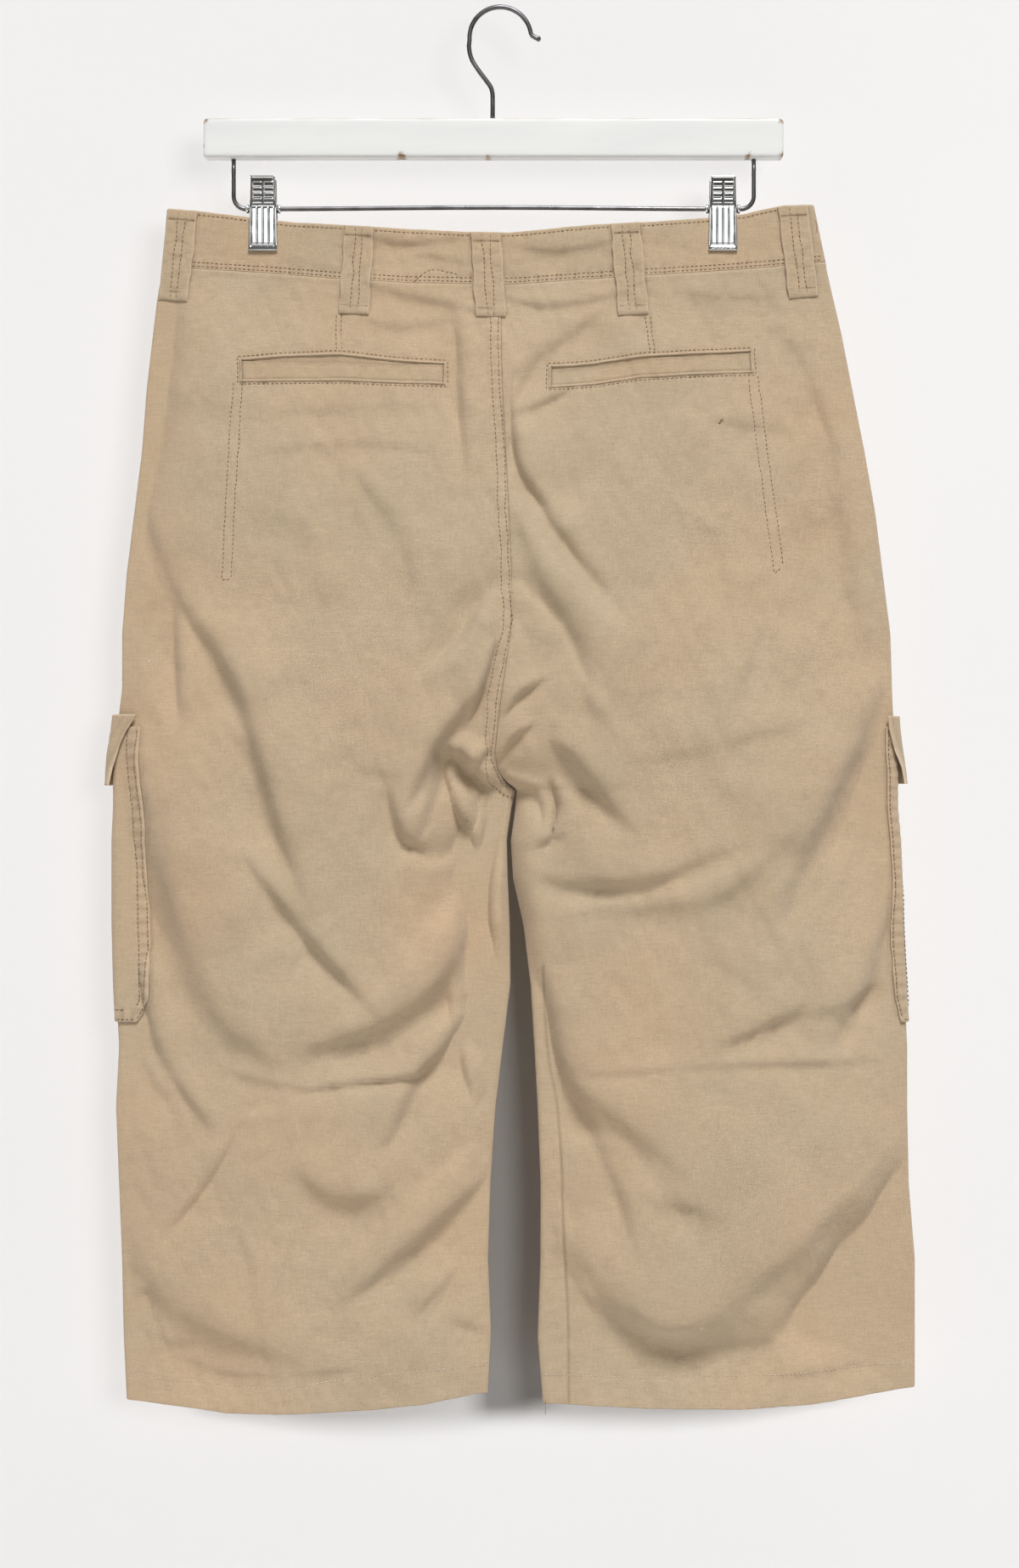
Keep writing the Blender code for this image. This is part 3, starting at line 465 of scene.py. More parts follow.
def to_light(chord):
    """How squarely the light crosses a line: 1 straight across from its right, -1 from its left."""
    return (chord[1] * LIGHT_SIDE[0] - chord[0] * LIGHT_SIDE[1]) / math.hypot(*chord)


def turn_of(line):
    """1 or -1, which makes distances from the line positive towards the light."""
    return 1.0 if to_light(line[-1] - line[0]) >= 0 else -1.0


def beside(points, distance):
    """The line moved sideways, towards the light where distance is positive."""
    line = np.array(points, dtype=float)
    along = np.gradient(line, axis=0)
    along /= np.linalg.norm(along, axis=1)[:, None]
    across = np.stack([along[:, 1], -along[:, 0]], axis=1)
    return line + across * distance * turn_of(line)


def map_slice(low, high, first, count):
    """The part of a map's rows or columns that covers a stretch."""
    return slice(max(0, int((low - first) / MAP_STEP)), min(count, int((high - first) / MAP_STEP) + 2))


def near(points, reach):
    """The part of the map near a line: its slices, the distance from the line (positive
    towards the light), the run along it, and its length."""
    line = soft_line(points)
    turn = turn_of(line)
    low = line.min(axis=0) - reach
    high = line.max(axis=0) + reach
    columns = map_slice(low[0], high[0], MAP_LEFT, MAP_COLUMNS)
    rows = map_slice(low[1], high[1], MAP_TOP, MAP_ROWS)
    x, down = np.meshgrid(map_x[columns], map_down[rows])
    best = np.full(x.shape, 1e9)
    side = np.ones(x.shape)
    run = np.zeros(x.shape)
    passed = 0.0
    for (x0, d0), (x1, d1) in zip(line, line[1:]):
        length = math.hypot(x1 - x0, d1 - d0)
        share = ((x - x0) * (x1 - x0) + (down - d0) * (d1 - d0)) / length**2
        share = np.clip(share, 0.0, 1.0)
        dx = x - x0 - share * (x1 - x0)
        dd = down - d0 - share * (d1 - d0)
        away = np.hypot(dx, dd)
        closer = away < best
        best = np.where(closer, away, best)
        lit = (dx * (d1 - d0) - dd * (x1 - x0)) * turn >= 0
        side = np.where(closer, np.where(lit, 1.0, -1.0), side)
        run = np.where(closer, passed + share * length, run)
        passed += length
    return (rows, columns), best * side, run, passed


def taper(run, length):
    """Strength along a crease, which fades out at both ends."""
    return np.sin(math.pi * np.clip(run / length, 0.0, 1.0)) ** 0.9


def uneven(run, length, seed):
    """Strength along a crease: it fades at both ends and is never quite even."""
    waver = 1.0 + 0.16 * np.sin(run / 17.0 + seed) + 0.1 * np.sin(run / 7.3 + 2 * seed)
    return taper(run, length) * waver


def longer(points, share=0.14):
    """The line carried on at both ends, where a crease fades out."""
    points = np.array(points, dtype=float)
    reach = share * np.linalg.norm(points[-1] - points[0])
    first = points[0] - points[1]
    last = points[-1] - points[-2]
    start = points[0] + first / np.linalg.norm(first) * reach
    end = points[-1] + last / np.linalg.norm(last) * reach
    return np.concatenate([[start], points, [end]])


def add_crease(table, width, height, points):
    """A steep face along a line, from which the cloth eases off on both sides."""
    place, away, run, length = near(longer(points), 6 * width)
    chord = np.subtract(points[-1], points[0])
    height = height / max(0.42, abs(to_light(chord)))
    breadth = width * (0.55 + 0.5 * taper(run, length))
    face = 0.76 * np.tanh(away / (0.8 * breadth)) + 0.24 * np.tanh(away / (0.3 * breadth))
    face = face * np.exp(-((np.abs(away) / (2.8 * breadth)) ** 1.6))
    table[place] -= 0.5 * CREASE_DEPTH * height * uneven(run, length, width) * face


def add_roll(table, width, height, points):
    """A round ridge or trough along a line."""
    place, away, run, length = near(points, 3 * width)
    table[place] += height * uneven(run, length, width) * bell(away, width)


def add_groove(table, points, width, height):
    """A narrow line of even depth, such as a row of stitches pulls in."""
    place, away, _, _ = near(points, 4 * width)
    table[place] += height * bell(away, width)


def add_puckers(table, points, reach, pitch, height, seed):
    """Small uneven waves across a seam."""
    place, away, run, length = near(points, 3 * reach)
    rng = np.random.default_rng(seed)
    steps = max(4, int(length / pitch) + 3)
    phase = np.interp(run, np.linspace(0, length, steps), rng.uniform(-1.6, 1.6, steps))
    force = np.interp(run, np.linspace(0, length, steps), rng.uniform(0.25, 1.0, steps))
    wave = np.sin(2 * math.pi * run / pitch + phase)
    table[place] += height * force * wave * bell(away, reach)


def noise_map(seed, size, height, stretch=1.0, slant=0.0):
    """Smooth seeded unevenness with features of about this size, drawn out along a slant."""
    white = np.random.default_rng(seed).standard_normal((MAP_ROWS, MAP_COLUMNS))
    rise = np.fft.fftfreq(MAP_ROWS, MAP_STEP)[:, None]
    across = np.fft.rfftfreq(MAP_COLUMNS, MAP_STEP)[None]
    along = rise * math.cos(slant) + across * math.sin(slant)
    aside = across * math.cos(slant) - rise * math.sin(slant)
    keep = np.exp(-((along * stretch) ** 2 + aside**2) * (size * 1.2) ** 2)
    made = np.fft.irfft2(np.fft.rfft2(white) * keep, s=white.shape)
    return made / made.std() * height


def welt_frame(table, out):
    """The line round a welt's window, this far outside it."""
    left, right = table[0], table[-1]
    top = [(row[0], row[1] - out) for row in table]
    bottom = [(row[0], row[2] + out) for row in table[::-1]]
    top[0] = (left[0] - out, left[1] - out)
    top[-1] = (right[0] + out, right[1] - out)
    bottom[0] = (right[0] + out, right[2] + out)
    bottom[-1] = (left[0] - out, left[2] + out)
    return top, bottom


# Unevenness of a face: seed, size, height, and for streaks how far drawn out and the slant
BROAD_NOISE = (
    (11, 42.0, 0.5), (13, 18.0, 0.2),
    (41, 7.0, 0.19, 5.0, 0.45), (43, 6.0, 0.16, 5.0, -0.5), (45, 5.0, 0.07, 6.0, 1.5),
)
FINE_NOISE = ((21, 8.0, 0.08), (23, 3.5, 0.02))
TONE_NOISE = ((31, 30.0, 0.014), (33, 9.0, 0.01))


def face_maps(layers):
    """A map for the back and one for the front, each the sum of its layers."""
    return [sum(noise_map(seed + face, *shape) for seed, *shape in layers) for face in FACES]


# broad and fine hold relief, and tone holds how much lighter or darker the cloth's colour is: random
# tone, wear, and painted shade along seams, puckers, loops and pockets
broad = face_maps(BROAD_NOISE)
fine = face_maps(FINE_NOISE)
tone = face_maps(TONE_NOISE)
for _, *shape in BACK_CREASES:
    add_crease(broad[BACK], *shape)
for _, *shape in BACK_ROLLS:
    add_roll(broad[BACK], *shape)
for _, *shape in FRONT_CREASES:
    add_crease(broad[FRONT], *shape)


def seam_marks(face, points, seed, reach, pitch, height):
    """What a topstitched seam does to the cloth beside it: a groove and puckers in the relief, and
    puckers in the tone, lighter on their crests as wear and darker in their hollows as painted shade.
    """
    add_groove(fine[face], points, 0.9, -0.16)
    add_puckers(fine[face], points, reach, pitch, height, seed)
    add_puckers(tone[face], points, 0.7 * reach, pitch, 0.5 * height, seed)


# Where the cloth is washed grey (positive) or warm (negative): x, down, reach x, reach down, force
WASHED = (
    (-92, 337, 62, 100, 0.75), (91, 318, 66, 76, 0.5), (-36, 440, 30, 46, 0.5),
    (140, 852, 62, 36, 0.6), (-128, 560, 52, 60, 0.3), (110, 650, 60, 50, 0.2),
    (-219, 330, 26, 110, -0.7), (206, 372, 38, 110, -0.6), (-196, 655, 46, 60, -0.4),
    (-186, 842, 60, 50, -0.4), (204, 500, 46, 60, -0.4), (140, 205, 70, 18, -0.4),
    (-66, 610, 40, 46, -0.4), (84, 528, 40, 30, -0.35), (-120, 212, 60, 16, -0.2),
)


def wash_at(face, x, down):
    """How grey the cloth is washed here. The front has the back's patches, turned round."""
    x = x if face == BACK else -x
    return sum(force * np.exp(-(((x - at_x) / wide) ** 2) - ((down - at_down) / tall) ** 2)
               for at_x, at_down, wide, tall, force in WASHED)


def below(edge, first, last, down):
    """A row of stitches this far below an edge."""
    return [(x, column(edge, 1, x) + down) for x in np.linspace(first, last, 60)]


SEAT_ROWS = tuple(beside(soft_line(SEAT_SEAM), -away) for away in (1.8, 6.8))
BAND_ROW = below(BAND_EDGE, -216, 204, 2.6)
WAIST_ROWS = (below(WAIST_LINE, -220, 212, -1.5), below(WAIST_LINE, -220, 212, -4.0))
INSEAM_ALLOWANCE = [(x - 9.0, down) for x, down in INSEAM_RIGHT]
# Seams of the back: line, width and height of the groove, and width and force of the painted shade along
# it
PRESSED = (
    (SEAT_SEAM, 0.8, -0.25, 0.7, -0.14),
    (DARTS[0], 0.8, -0.4, 0.6, -0.16),
    (DARTS[1], 0.8, -0.4, 0.6, -0.16),
    (INSEAM_RIGHT, 0.9, -0.8, 0.75, -0.42),
)
for number, points in enumerate(SEAT_ROWS):
    seam_marks(BACK, points[::3], 100 + number, reach=3.2, pitch=5.5, height=0.4)
for number, points in enumerate((*DARTS, *BAG_ROWS[0], *BAG_ROWS[1])):
    seam_marks(BACK, points, 110 + number, reach=3.0, pitch=7.0, height=0.12)
for number, points in enumerate(HEM_ROWS):
    for face in FACES:
        seam_marks(face, points, 120 + number, reach=6.0, pitch=13.0, height=0.1)
for table in WELTS.values():
    top, bottom = welt_frame(table, 1.5)
    seam_marks(BACK, top, 130, reach=2.5, pitch=4.5, height=0.12)
    seam_marks(BACK, bottom, 131, reach=4.5, pitch=5.0, height=0.22)
for face in FACES:
    seam_marks(face, WAIST_ROWS[0][::4], 140, reach=4.0, pitch=6.0, height=0.22)
    seam_marks(face, WAIST_ROWS[1][::4], 141, reach=4.5, pitch=7.0, height=0.26)
    seam_marks(face, BAND_ROW[::4], 142, reach=4.0, pitch=6.0, height=0.2)
for points, width, height, shade_width, shade in PRESSED:
    add_groove(fine[BACK], points, width, height)
    # Painted shade: the tone is darkened in a line along each pressed seam
    add_groove(tone[BACK], points, shade_width, shade)
add_puckers(fine[BACK], INSEAM_ALLOWANCE, 8.0, 10.0, 0.5, 150)
# The tone's puckers are lighter on their crests as wear and darker in their hollows as painted shade
add_puckers(tone[BACK], INSEAM_ALLOWANCE, 7.0, 10.0, 0.05, 150)
add_groove(fine[BACK], REPAIR_HUMP, 1.2, -0.3)
for _, face, top_x, bottom_x, bottom_down in LOOPS:
    loop_top = column(BAND_EDGE, 1, top_x) + 1.0
    for aside in (-0.5 * LOOP_WIDTH - 0.5, 0.5 * LOOP_WIDTH + 0.5):
        beside_loop = ((top_x + aside, loop_top), (bottom_x + aside, bottom_down - 1.0))
        # Painted shade: a dark line in the tone along each side of a loop
        add_groove(tone[face], beside_loop, 0.9, -0.22)
        add_puckers(fine[face], beside_loop, 5.0, 8.0, 0.3, int(abs(top_x)))


# ---------------------------------------------------------------- the form of the cloth
def actual_down(x, level):
    """How far below the origin a point of this level is, with the curves of the seams."""
    top = column(BAND_EDGE, 1, x)
    seam = column(WAIST_LINE, 1, x)
    in_band = seam + (top - seam) * (WAIST_SEAM - level) / (WAIST_SEAM - BAND_TOP)
    below = level + (seam - WAIST_SEAM) * smooth(1.0 - (level - WAIST_SEAM) / 120.0)
    below = below + (column(HEM_LINE, 1, x) - HEM) * smooth((level - 790.0) / (HEM - 790.0))
    return np.where(level < WAIST_SEAM, in_band, below)


def level_of(x, down):
    """The level whose point at x lies this far below the origin."""
    level = np.array(down, dtype=float)
    for _ in range(6):
        level = level - (actual_down(x, level) - down)
    return level


def crotch_turn(level):
    return smooth((level - (CROTCH - CROTCH_TURN)) / CROTCH_TURN)


def core_ends(side, level):
    """x of the core line's inner and outer ends."""
    inner = column(FORM, 2 if side == LEFT else 3, level)
    outer = column(FORM, 1 if side == LEFT else 4, level)
    inset = SKIN * np.sin(math.pi / 2 * crotch_turn(level))
    return inner + side * inset, outer - side * SKIN


def core_line(side, face, share, level, detail):
    """x and outward depth of the core line. share runs from the inner edge to the side."""
    inner, outer = core_ends(side, level)
    start = -np.clip((level - SEAT_CURVE_START) / (CROTCH - SEAT_CURVE_START), 0.0, 1.0)
    across = start + (1.0 - start) * share
    x = inner + (outer - inner) * share
    held = sum(bell(x - clip, PINCH_WIDTH) for clip in CLIP_X)
    pinch = 1.0 - PINCH_SHARE * held * smooth(1.0 - (level - 150.0) / 90.0)
    deep = column(FORM, 5 + face, level) * pinch * (1.0 - np.abs(across) ** 2.5)
    down = actual_down(x, level)
    relief = sample(broad[face], x, down)
    if detail:
        relief = relief + sample(fine[face], x, down)
    relief = np.where(relief > 0.0, STAND_OUT * np.tanh(relief / STAND_OUT), relief)
    calm = 1.0 - 0.75 * held * smooth(1.0 - (level - 140.0) / 60.0)
    relief = relief * calm * np.clip(1.0 - across**20, 0.0, 1.0)
    return x, np.maximum(deep + relief, np.minimum(deep, 0.0))


def skin(side, face, share, fan, level, out, detail=True):
    """Points this far out from the core line. fan turns from the wall (0) to the side
    seam (1), or to the inner edge (-1)."""
    share, fan, level, out = np.broadcast_arrays(
        *(np.asarray(value, dtype=float) for value in (share, fan, level, out))
    )
    x, y = core_line(side, face, share, level, detail)
    x_before, y_before = core_line(side, face, share - 0.006, level, False)
    x_after, y_after = core_line(side, face, share + 0.006, level, False)
    angle = np.arctan2((x_after - x_before) * side, y_before - y_after)
    inward = np.clip(-fan, 0.0, 1.0)
    angle = angle * (1.0 - np.clip(fan, 0.0, 1.0))
    angle = angle + (math.pi / 2 - angle) * inward
    angle = angle + (math.pi - angle) * crotch_turn(level) * inward
    x = x + side * np.cos(angle) * out
    y = (y + np.sin(angle) * out) * OUTWARD[face]
    return np.stack([x, y, -actual_down(x, level)], axis=-1)


def ring(side, around, level, out, detail=True):
    """Points round the side: around is negative on the back, then the cap's arc, then the front."""
    around, level = np.broadcast_arrays(np.asarray(around, float), np.asarray(level, float))
    inner, outer = core_ends(side, level)
    span = np.abs(outer - inner)
    back_share = 1.0 - np.clip(-around, 0.0, None) / span
    back = skin(side, BACK, back_share, np.clip(around / CAP_ARC, 0.0, 1.0), level, out, detail)
    beyond = around - 2 * CAP_ARC
    front_share = 1.0 - np.clip(beyond, 0.0, None) / span
    front = skin(side, FRONT, front_share, np.clip(-beyond / CAP_ARC, 0.0, 1.0), level, out, detail)
    return np.where((around <= CAP_ARC)[..., None], back, front)


def on_face(face, x, level, out, detail=True):
    """Points over the place x on one face, held to the flat part of the wall."""
    x, level, out = np.broadcast_arrays(
        *(np.asarray(value, dtype=float) for value in (x, level, out))
    )
    made = []
    for side in (LEFT, RIGHT):
        inner, outer = core_ends(side, level)
        share = (x - inner) / (outer - inner)
        fan = np.clip((share - 1.0) * 40.0, 0.0, 0.4)
        made.append(skin(side, face, np.clip(share, 0.0, 1.0), fan, level, out, detail))
    middle = column(FORM, 2, level)
    return np.where((x < middle)[..., None], made[0], made[1])


# Painted shadow: a dark line in the tone beside each cargo pocket's rear edge
for side, table in POCKET_BACK.items():
    pocket_level = np.linspace(474.0, 660.0, 24)
    edge_x = core_ends(side, pocket_level)[1] - side * (column(table, 1, pocket_level) + 2.6)
    edge_line = np.stack([edge_x, actual_down(edge_x, pocket_level)], axis=1)
    add_groove(tone[BACK], edge_line, 1.0, -0.2)


# ---------------------------------------------------------------- materials
def set_inputs(tree, node, inputs):
    """Links a socket, and sets any other value."""
    for name, value in inputs.items():
        if isinstance(value, bpy.types.NodeSocket):
            tree.links.new(value, node.inputs[name])
        else:
            node.inputs[name].default_value = value


def add_node(tree, kind, inputs=None, **settings):
    """A shader node with its settings and inputs."""
    made = tree.nodes.new("ShaderNode" + kind)
    for name, value in settings.items():
        setattr(made, name, value)
    set_inputs(tree, made, inputs or {})
    return made


def new_look(name):
    look = bpy.data.materials.new(name)
    look.use_nodes = True
    tree = look.node_tree
    shader = tree.nodes["Principled BSDF"]
    place = add_node(tree, "TexCoord").outputs["Object"]
    return look, tree, shader, place


def scaled(tree, place, scale, rotation=(0.0, 0.0, 0.0)):
    return add_node(tree, "Mapping", {"Vector": place, "Scale": scale, "Rotation": rotation}).outputs[0]


def noise(tree, place, scale, detail=2.0, roughness=0.5):
    inputs = {"Vector": place, "Scale": scale, "Detail": detail, "Roughness": roughness}
    return add_node(tree, "TexNoise", inputs).outputs["Fac"]


def ramp(tree, factor, low, high, colours):
    made = add_node(tree, "ValToRGB", {"Fac": factor})
    made.color_ramp.elements[0].position = low
    made.color_ramp.elements[1].position = high
    for element, colour in zip(made.color_ramp.elements, colours):
        element.color = (*colour, 1.0)
    return made.outputs["Color"]


def grey_ramp(tree, factor, low, high, last=0.7):
    """Greys from low to high over the middle of a noise."""
    return ramp(tree, factor, 0.3, last, ((low,) * 3, (high,) * 3))


def mix(tree, factor, first, second, blend="MIX"):
    colours = [value if isinstance(value, bpy.types.NodeSocket) else (*value, 1.0)
               for value in (first, second)]
    inputs = {0: factor, 6: colours[0], 7: colours[1]}
    return add_node(tree, "Mix", inputs, data_type="RGBA", blend_type=blend).outputs[2]


def shaded(tree, colour, pattern, low, high):
    """The colour made darker and lighter by a pattern."""
    return mix(tree, 1.0, colour, grey_ramp(tree, pattern, low, high), "MULTIPLY")


def maths(tree, operation, first, second, clamp=False):
    inputs = {0: first, 1: second}
    return add_node(tree, "Math", inputs, operation=operation, use_clamp=clamp).outputs[0]


def mark_of(tree, name):
    """An attribute of the mesh that drives the look."""
    return add_node(tree, "Attribute", attribute_name=name).outputs["Fac"]


def bumped(tree, height, strength, distance):
    inputs = {"Height": height, "Strength": strength, "Distance": distance}
    return add_node(tree, "Bump", inputs).outputs["Normal"]


def cotton(name, base, blotch_scale=7.0):
    """Washed, brushed cotton twill: soft blotches, slubs both ways and a diagonal rib."""
    look, tree, shader, place = new_look(name)
    grey = tuple(c * k for c, k in zip(base, (0.955, 0.992, 1.01)))
    warm = tuple(c * k for c, k in zip(base, (1.03, 0.996, 0.972)))
    washed = maths(tree, "MULTIPLY", mark_of(tree, "wash"), 0.13)
    blotch = maths(tree, "SUBTRACT", noise(tree, place, blotch_scale, 3.0, 0.55), washed)
    colour = ramp(tree, blotch, 0.34, 0.68, (grey, warm))
    cloud = noise(tree, place, 26.0, 4.0, 0.6)
    slub = noise(tree, scaled(tree, place, (140.0, 140.0, 1500.0)), 1.0, 2.0)
    warp = noise(tree, scaled(tree, place, (1300.0, 1300.0, 110.0)), 1.0, 2.0)
    grain = noise(tree, place, 900.0, 2.0)
    for pattern, low, high in (
        (cloud, 0.98, 1.015), (slub, 0.93, 1.06), (warp, 0.95, 1.04), (grain, 0.94, 1.06),
    ):
        colour = shaded(tree, colour, pattern, low, high)
    # The tone lightens the cloth for wear and random tone, and darkens it towards near-black brown for
    # random tone and for painted shade along seams, creases, puckers and recesses
    mark = mark_of(tree, "tone")
    lighter = maths(tree, "MULTIPLY", mark, 1.0, clamp=True)
    darker = maths(tree, "MULTIPLY", mark, -1.0, clamp=True)
    colour = mix(tree, lighter, colour, (0.70, 0.56, 0.42))
    colour = mix(tree, darker, colour, (0.10, 0.065, 0.035))
    rib_place = scaled(tree, place, (1.0, 1.0, 1.0), (0.0, math.radians(38.0), 0.0))
    rib = add_node(tree, "TexWave", {"Vector": rib_place, "Scale": 290.0, "Distortion": 1.2,
                                    "Detail": 1.0, "Detail Scale": 2.0}, bands_direction="X")
    height = maths(tree, "MULTIPLY", rib.outputs["Fac"], 0.35)
    for pattern, share in ((slub, 0.7), (grain, 0.9), (warp, 0.4)):
        height = maths(tree, "ADD", height, maths(tree, "MULTIPLY", pattern, share))
    set_inputs(tree, shader, {
        "Base Color": colour, "Roughness": 0.92, "Specular IOR Level": 0.25, "Sheen Weight": 0.22,
        "Sheen Roughness": 0.6, "Normal": bumped(tree, height, 0.35, 0.0004),
    })
    return look


def thread_look(name, dark, light):
    look, tree, shader, place = new_look(name)
    colour = ramp(tree, noise(tree, place, 120.0, 2.0), 0.35, 0.65, (dark, light))
    twist = noise(tree, place, 2600.0, 1.0)
    set_inputs(tree, shader, {
        "Base Color": colour, "Roughness": 0.7, "Sheen Weight": 0.2,
        "Normal": bumped(tree, twist, 0.3, 0.0002),
    })
    return look


def paint_look():
    """White paint on wood, with the paint gone to the wood at knocks along the edges, and mixed towards
    the wood as painted shade along the top edge.
    """
    look, tree, shader, place = new_look("painted_wood")
    cloud = noise(tree, scaled(tree, place, (12.0, 30.0, 60.0)), 1.0, 4.0)
    white = ramp(tree, cloud, 0.3, 0.7, ((0.76, 0.775, 0.775), (0.82, 0.83, 0.825)))
    grain = noise(tree, scaled(tree, place, (60.0, 900.0, 900.0)), 1.0, 3.0)
    wood = ramp(tree, grain, 0.3, 0.7, ((0.20, 0.115, 0.055), (0.42, 0.28, 0.16)))
    # The tone mark: bare wood at the knocks, and painted shade along the top edge
    knocks_and_top_shade = maths(tree, "MULTIPLY", mark_of(tree, "tone"), -1.0, clamp=True)
    set_inputs(tree, shader, {
        "Base Color": mix(tree, knocks_and_top_shade, white, wood), "Roughness": grey_ramp(tree, cloud, 0.36, 0.5),
        "Normal": bumped(tree, grain, 0.12, 0.0003),
    })
    return look


def metal_look(name, dark, light, roughness):
    look, tree, shader, place = new_look(name)
    cloud = noise(tree, place, 90.0, 3.0)
    smudge = noise(tree, place, 240.0, 3.0)
    set_inputs(tree, shader, {
        "Base Color": ramp(tree, cloud, 0.3, 0.7, (dark, light)), "Metallic": 1.0,
        "Roughness": grey_ramp(tree, smudge, roughness, roughness * 1.8, last=0.75),
    })
    return look


def horn_look():
    look, tree, shader, place = new_look("button_horn")
    swirl = noise(tree, scaled(tree, place, (90.0, 90.0, 260.0)), 1.0, 4.0, 0.6)
    colour = ramp(tree, swirl, 0.35, 0.66, ((0.13, 0.08, 0.045), (0.36, 0.25, 0.15)))
    set_inputs(tree, shader, {"Base Color": colour, "Roughness": 0.34, "Coat Weight": 0.2})
    return look


CLOTH_LOOKS = {
    "cloth": cotton("twill", (0.515, 0.392, 0.262)),
    "trim_cloth": cotton("twill_doubled", (0.50, 0.377, 0.248), 11.0),
}
thread = thread_look("thread", (0.20, 0.115, 0.06), (0.32, 0.205, 0.115))
pale_thread = thread_look("pale_thread", (0.50, 0.39, 0.28), (0.66, 0.55, 0.43))
lint_look = thread_look("lint", (0.74, 0.73, 0.70), (0.86, 0.85, 0.83))
paint = paint_look()
chrome = metal_look("chrome_plating", (0.66, 0.68, 0.70), (0.84, 0.85, 0.86), 0.09)
steel = metal_look("steel_wire", (0.11, 0.11, 0.115), (0.20, 0.20, 0.205), 0.26)
horn = horn_look()
plate_chrome = metal_look("plate_plating", (0.58, 0.60, 0.61), (0.84, 0.85, 0.86), 0.06)


# ---------------------------------------------------------------- meshes
def set_marks(mesh, name, values):
    layer = mesh.attributes.new(name, "FLOAT", "POINT")
    layer.data.foreach_set("value", np.asarray(values, dtype=np.float32).ravel())


def add_mesh(name, points, faces, look, marks=None):
    """A mesh object from points in millimetres, riding on the part's one body."""
    points = np.asarray(points, dtype=np.float32) * MM
    mesh = bpy.data.meshes.new(name)
    mesh.vertices.add(len(points))
    mesh.vertices.foreach_set("co", points.ravel())
    corners = sum(len(group[0]) * len(group) for group in faces)
    mesh.loops.add(corners)
    mesh.polygons.add(sum(len(group) for group in faces))
    starts = []
    at = 0
    for group in faces:
        starts.append(at + np.arange(len(group)) * len(group[0]))
        at += len(group) * len(group[0])
    mesh.loops.foreach_set("vertex_index", np.concatenate([np.asarray(g).ravel() for g in faces]))
    mesh.polygons.foreach_set("loop_start", np.concatenate(starts))
    mesh.update(calc_edges=True)
    mesh.validate()
    mesh.shade_smooth()
    if marks is not None:
        set_marks(mesh, "tone", marks)
    mesh.materials.append(look)
    made = bpy.data.objects.new(name, mesh)
    bpy.context.scene.collection.objects.link(made)
    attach(made, "root")
    return made


INSIDE_MARKS = 0.6


def shell(name, outside, inside, look, marks=None):
    """A closed thin wall between two grids of points with the same rows and columns."""
    index = numbered(outside)
    half = index.size
    points = np.concatenate([outside.reshape(-1, 3), inside.reshape(-1, 3)])
    quads = np.stack([index[:-1, :-1], index[:-1, 1:], index[1:, 1:], index[1:, :-1]], axis=-1)
    quads = quads.reshape(-1, 4)
    edge = np.concatenate([index[0, :], index[1:, -1], index[-1, -2::-1], index[-2:0:-1, 0]])
    after = np.roll(edge, -1)
    rim = np.stack([edge, half + edge, half + after, after], axis=-1)
    faces = np.concatenate([quads, half + quads[:, ::-1], rim])
    corner = points[faces]
    size = np.einsum("ij,ij->i", corner[:, 0], np.cross(corner[:, 1], corner[:, 2])).sum()
    size += np.einsum("ij,ij->i", corner[:, 0], np.cross(corner[:, 2], corner[:, 3])).sum()
    if size < 0:
        faces = faces[:, ::-1]
    if marks is not None:
        marks = np.concatenate([marks.ravel(), INSIDE_MARKS * marks.ravel()])
    return add_mesh(name, points, [faces], look, marks)


def wrap_faces(index):
    """Quads between the rows of a grid of point numbers whose last column meets its first."""
    turned = np.roll(index, -1, axis=1)
    return np.stack([index[:-1], index[1:], turned[1:], turned[:-1]], axis=-1).reshape(-1, 4)


def numbered(points):
    """The number of each point of a grid."""
    rows, columns = points.shape[:2]
    return np.arange(rows * columns).reshape(rows, columns)


def stood_for(piece, node):
    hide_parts(node)
    return piece


def cut_piece(node, walls, slot, marks):
    """A piece of cloth: its two surfaces, its look and marks, and the node it stands for."""
    made = shell(node + "_cloth", *walls, CLOTH_LOOKS[slot], marks)
    return stood_for(made, node)


def edge_curl(away, radius):
    """How far a surface drops where it turns round an edge this far away."""
    share = np.clip(1.0 - away / radius, 0.0, 1.0)
    return radius * (1.0 - np.sqrt(np.clip(1.0 - share**2, 0.0, 1.0)))


def spaced(*stretches):
    """Even steps over stretches that follow each other: first, last and count."""
    return np.concatenate([np.linspace(*stretch, endpoint=False) for stretch in stretches])


# ---------------------------------------------------------------- panels
# Where the grid of a panel has its points, for the back and for the front
SHARES = (
    np.concatenate([0.085 * spaced((0.08, 1.0, 22)), np.linspace(0.085, 1.0, 114)]),
    np.concatenate([0.045 * spaced((0.2, 1.0, 4)), np.linspace(0.045, 1.0, 66)]),
)
LEVELS = (
    np.concatenate([spaced((168.16, 205, 23), (205, 262, 27), (262, 884, 250), (884, 911, 20)),
                    [911.0, 911.4, 911.8, 912.0]]),
    np.concatenate([spaced((168.16, 884, 150), (884, 911, 14)), [911.0, 911.5, 912.0]]),
)
PANEL_APART = 0.05
SEAM_TOP = 168.04
TURN = np.linspace(0.2, 1.0, 6)
FELL_WIDTH = 8.6
FELL_RISE = 0.5


def felled(side, face, share, level):
    """The left back panel's seam allowance is turned and stitched down along the seat seam."""
    if face != BACK or side != LEFT:
        return 0.0
    inner, outer = core_ends(side, level)
    away = share * np.abs(outer - inner)
    rise = smooth((FELL_WIDTH - away) / 2.4 + 0.5)
    return FELL_RISE * rise * smooth((CROTCH - 2.0 - level) / 10.0)


def front_hem_peek(x, level):
    """The front's hem hangs a little lower than the back's in two places."""
    peek = 1.6 * bell(x + 32.0, 16.0) + 1.5 * bell(x - 55.0, 22.0)
    return peek * smooth((level - 880.0) / 30.0)


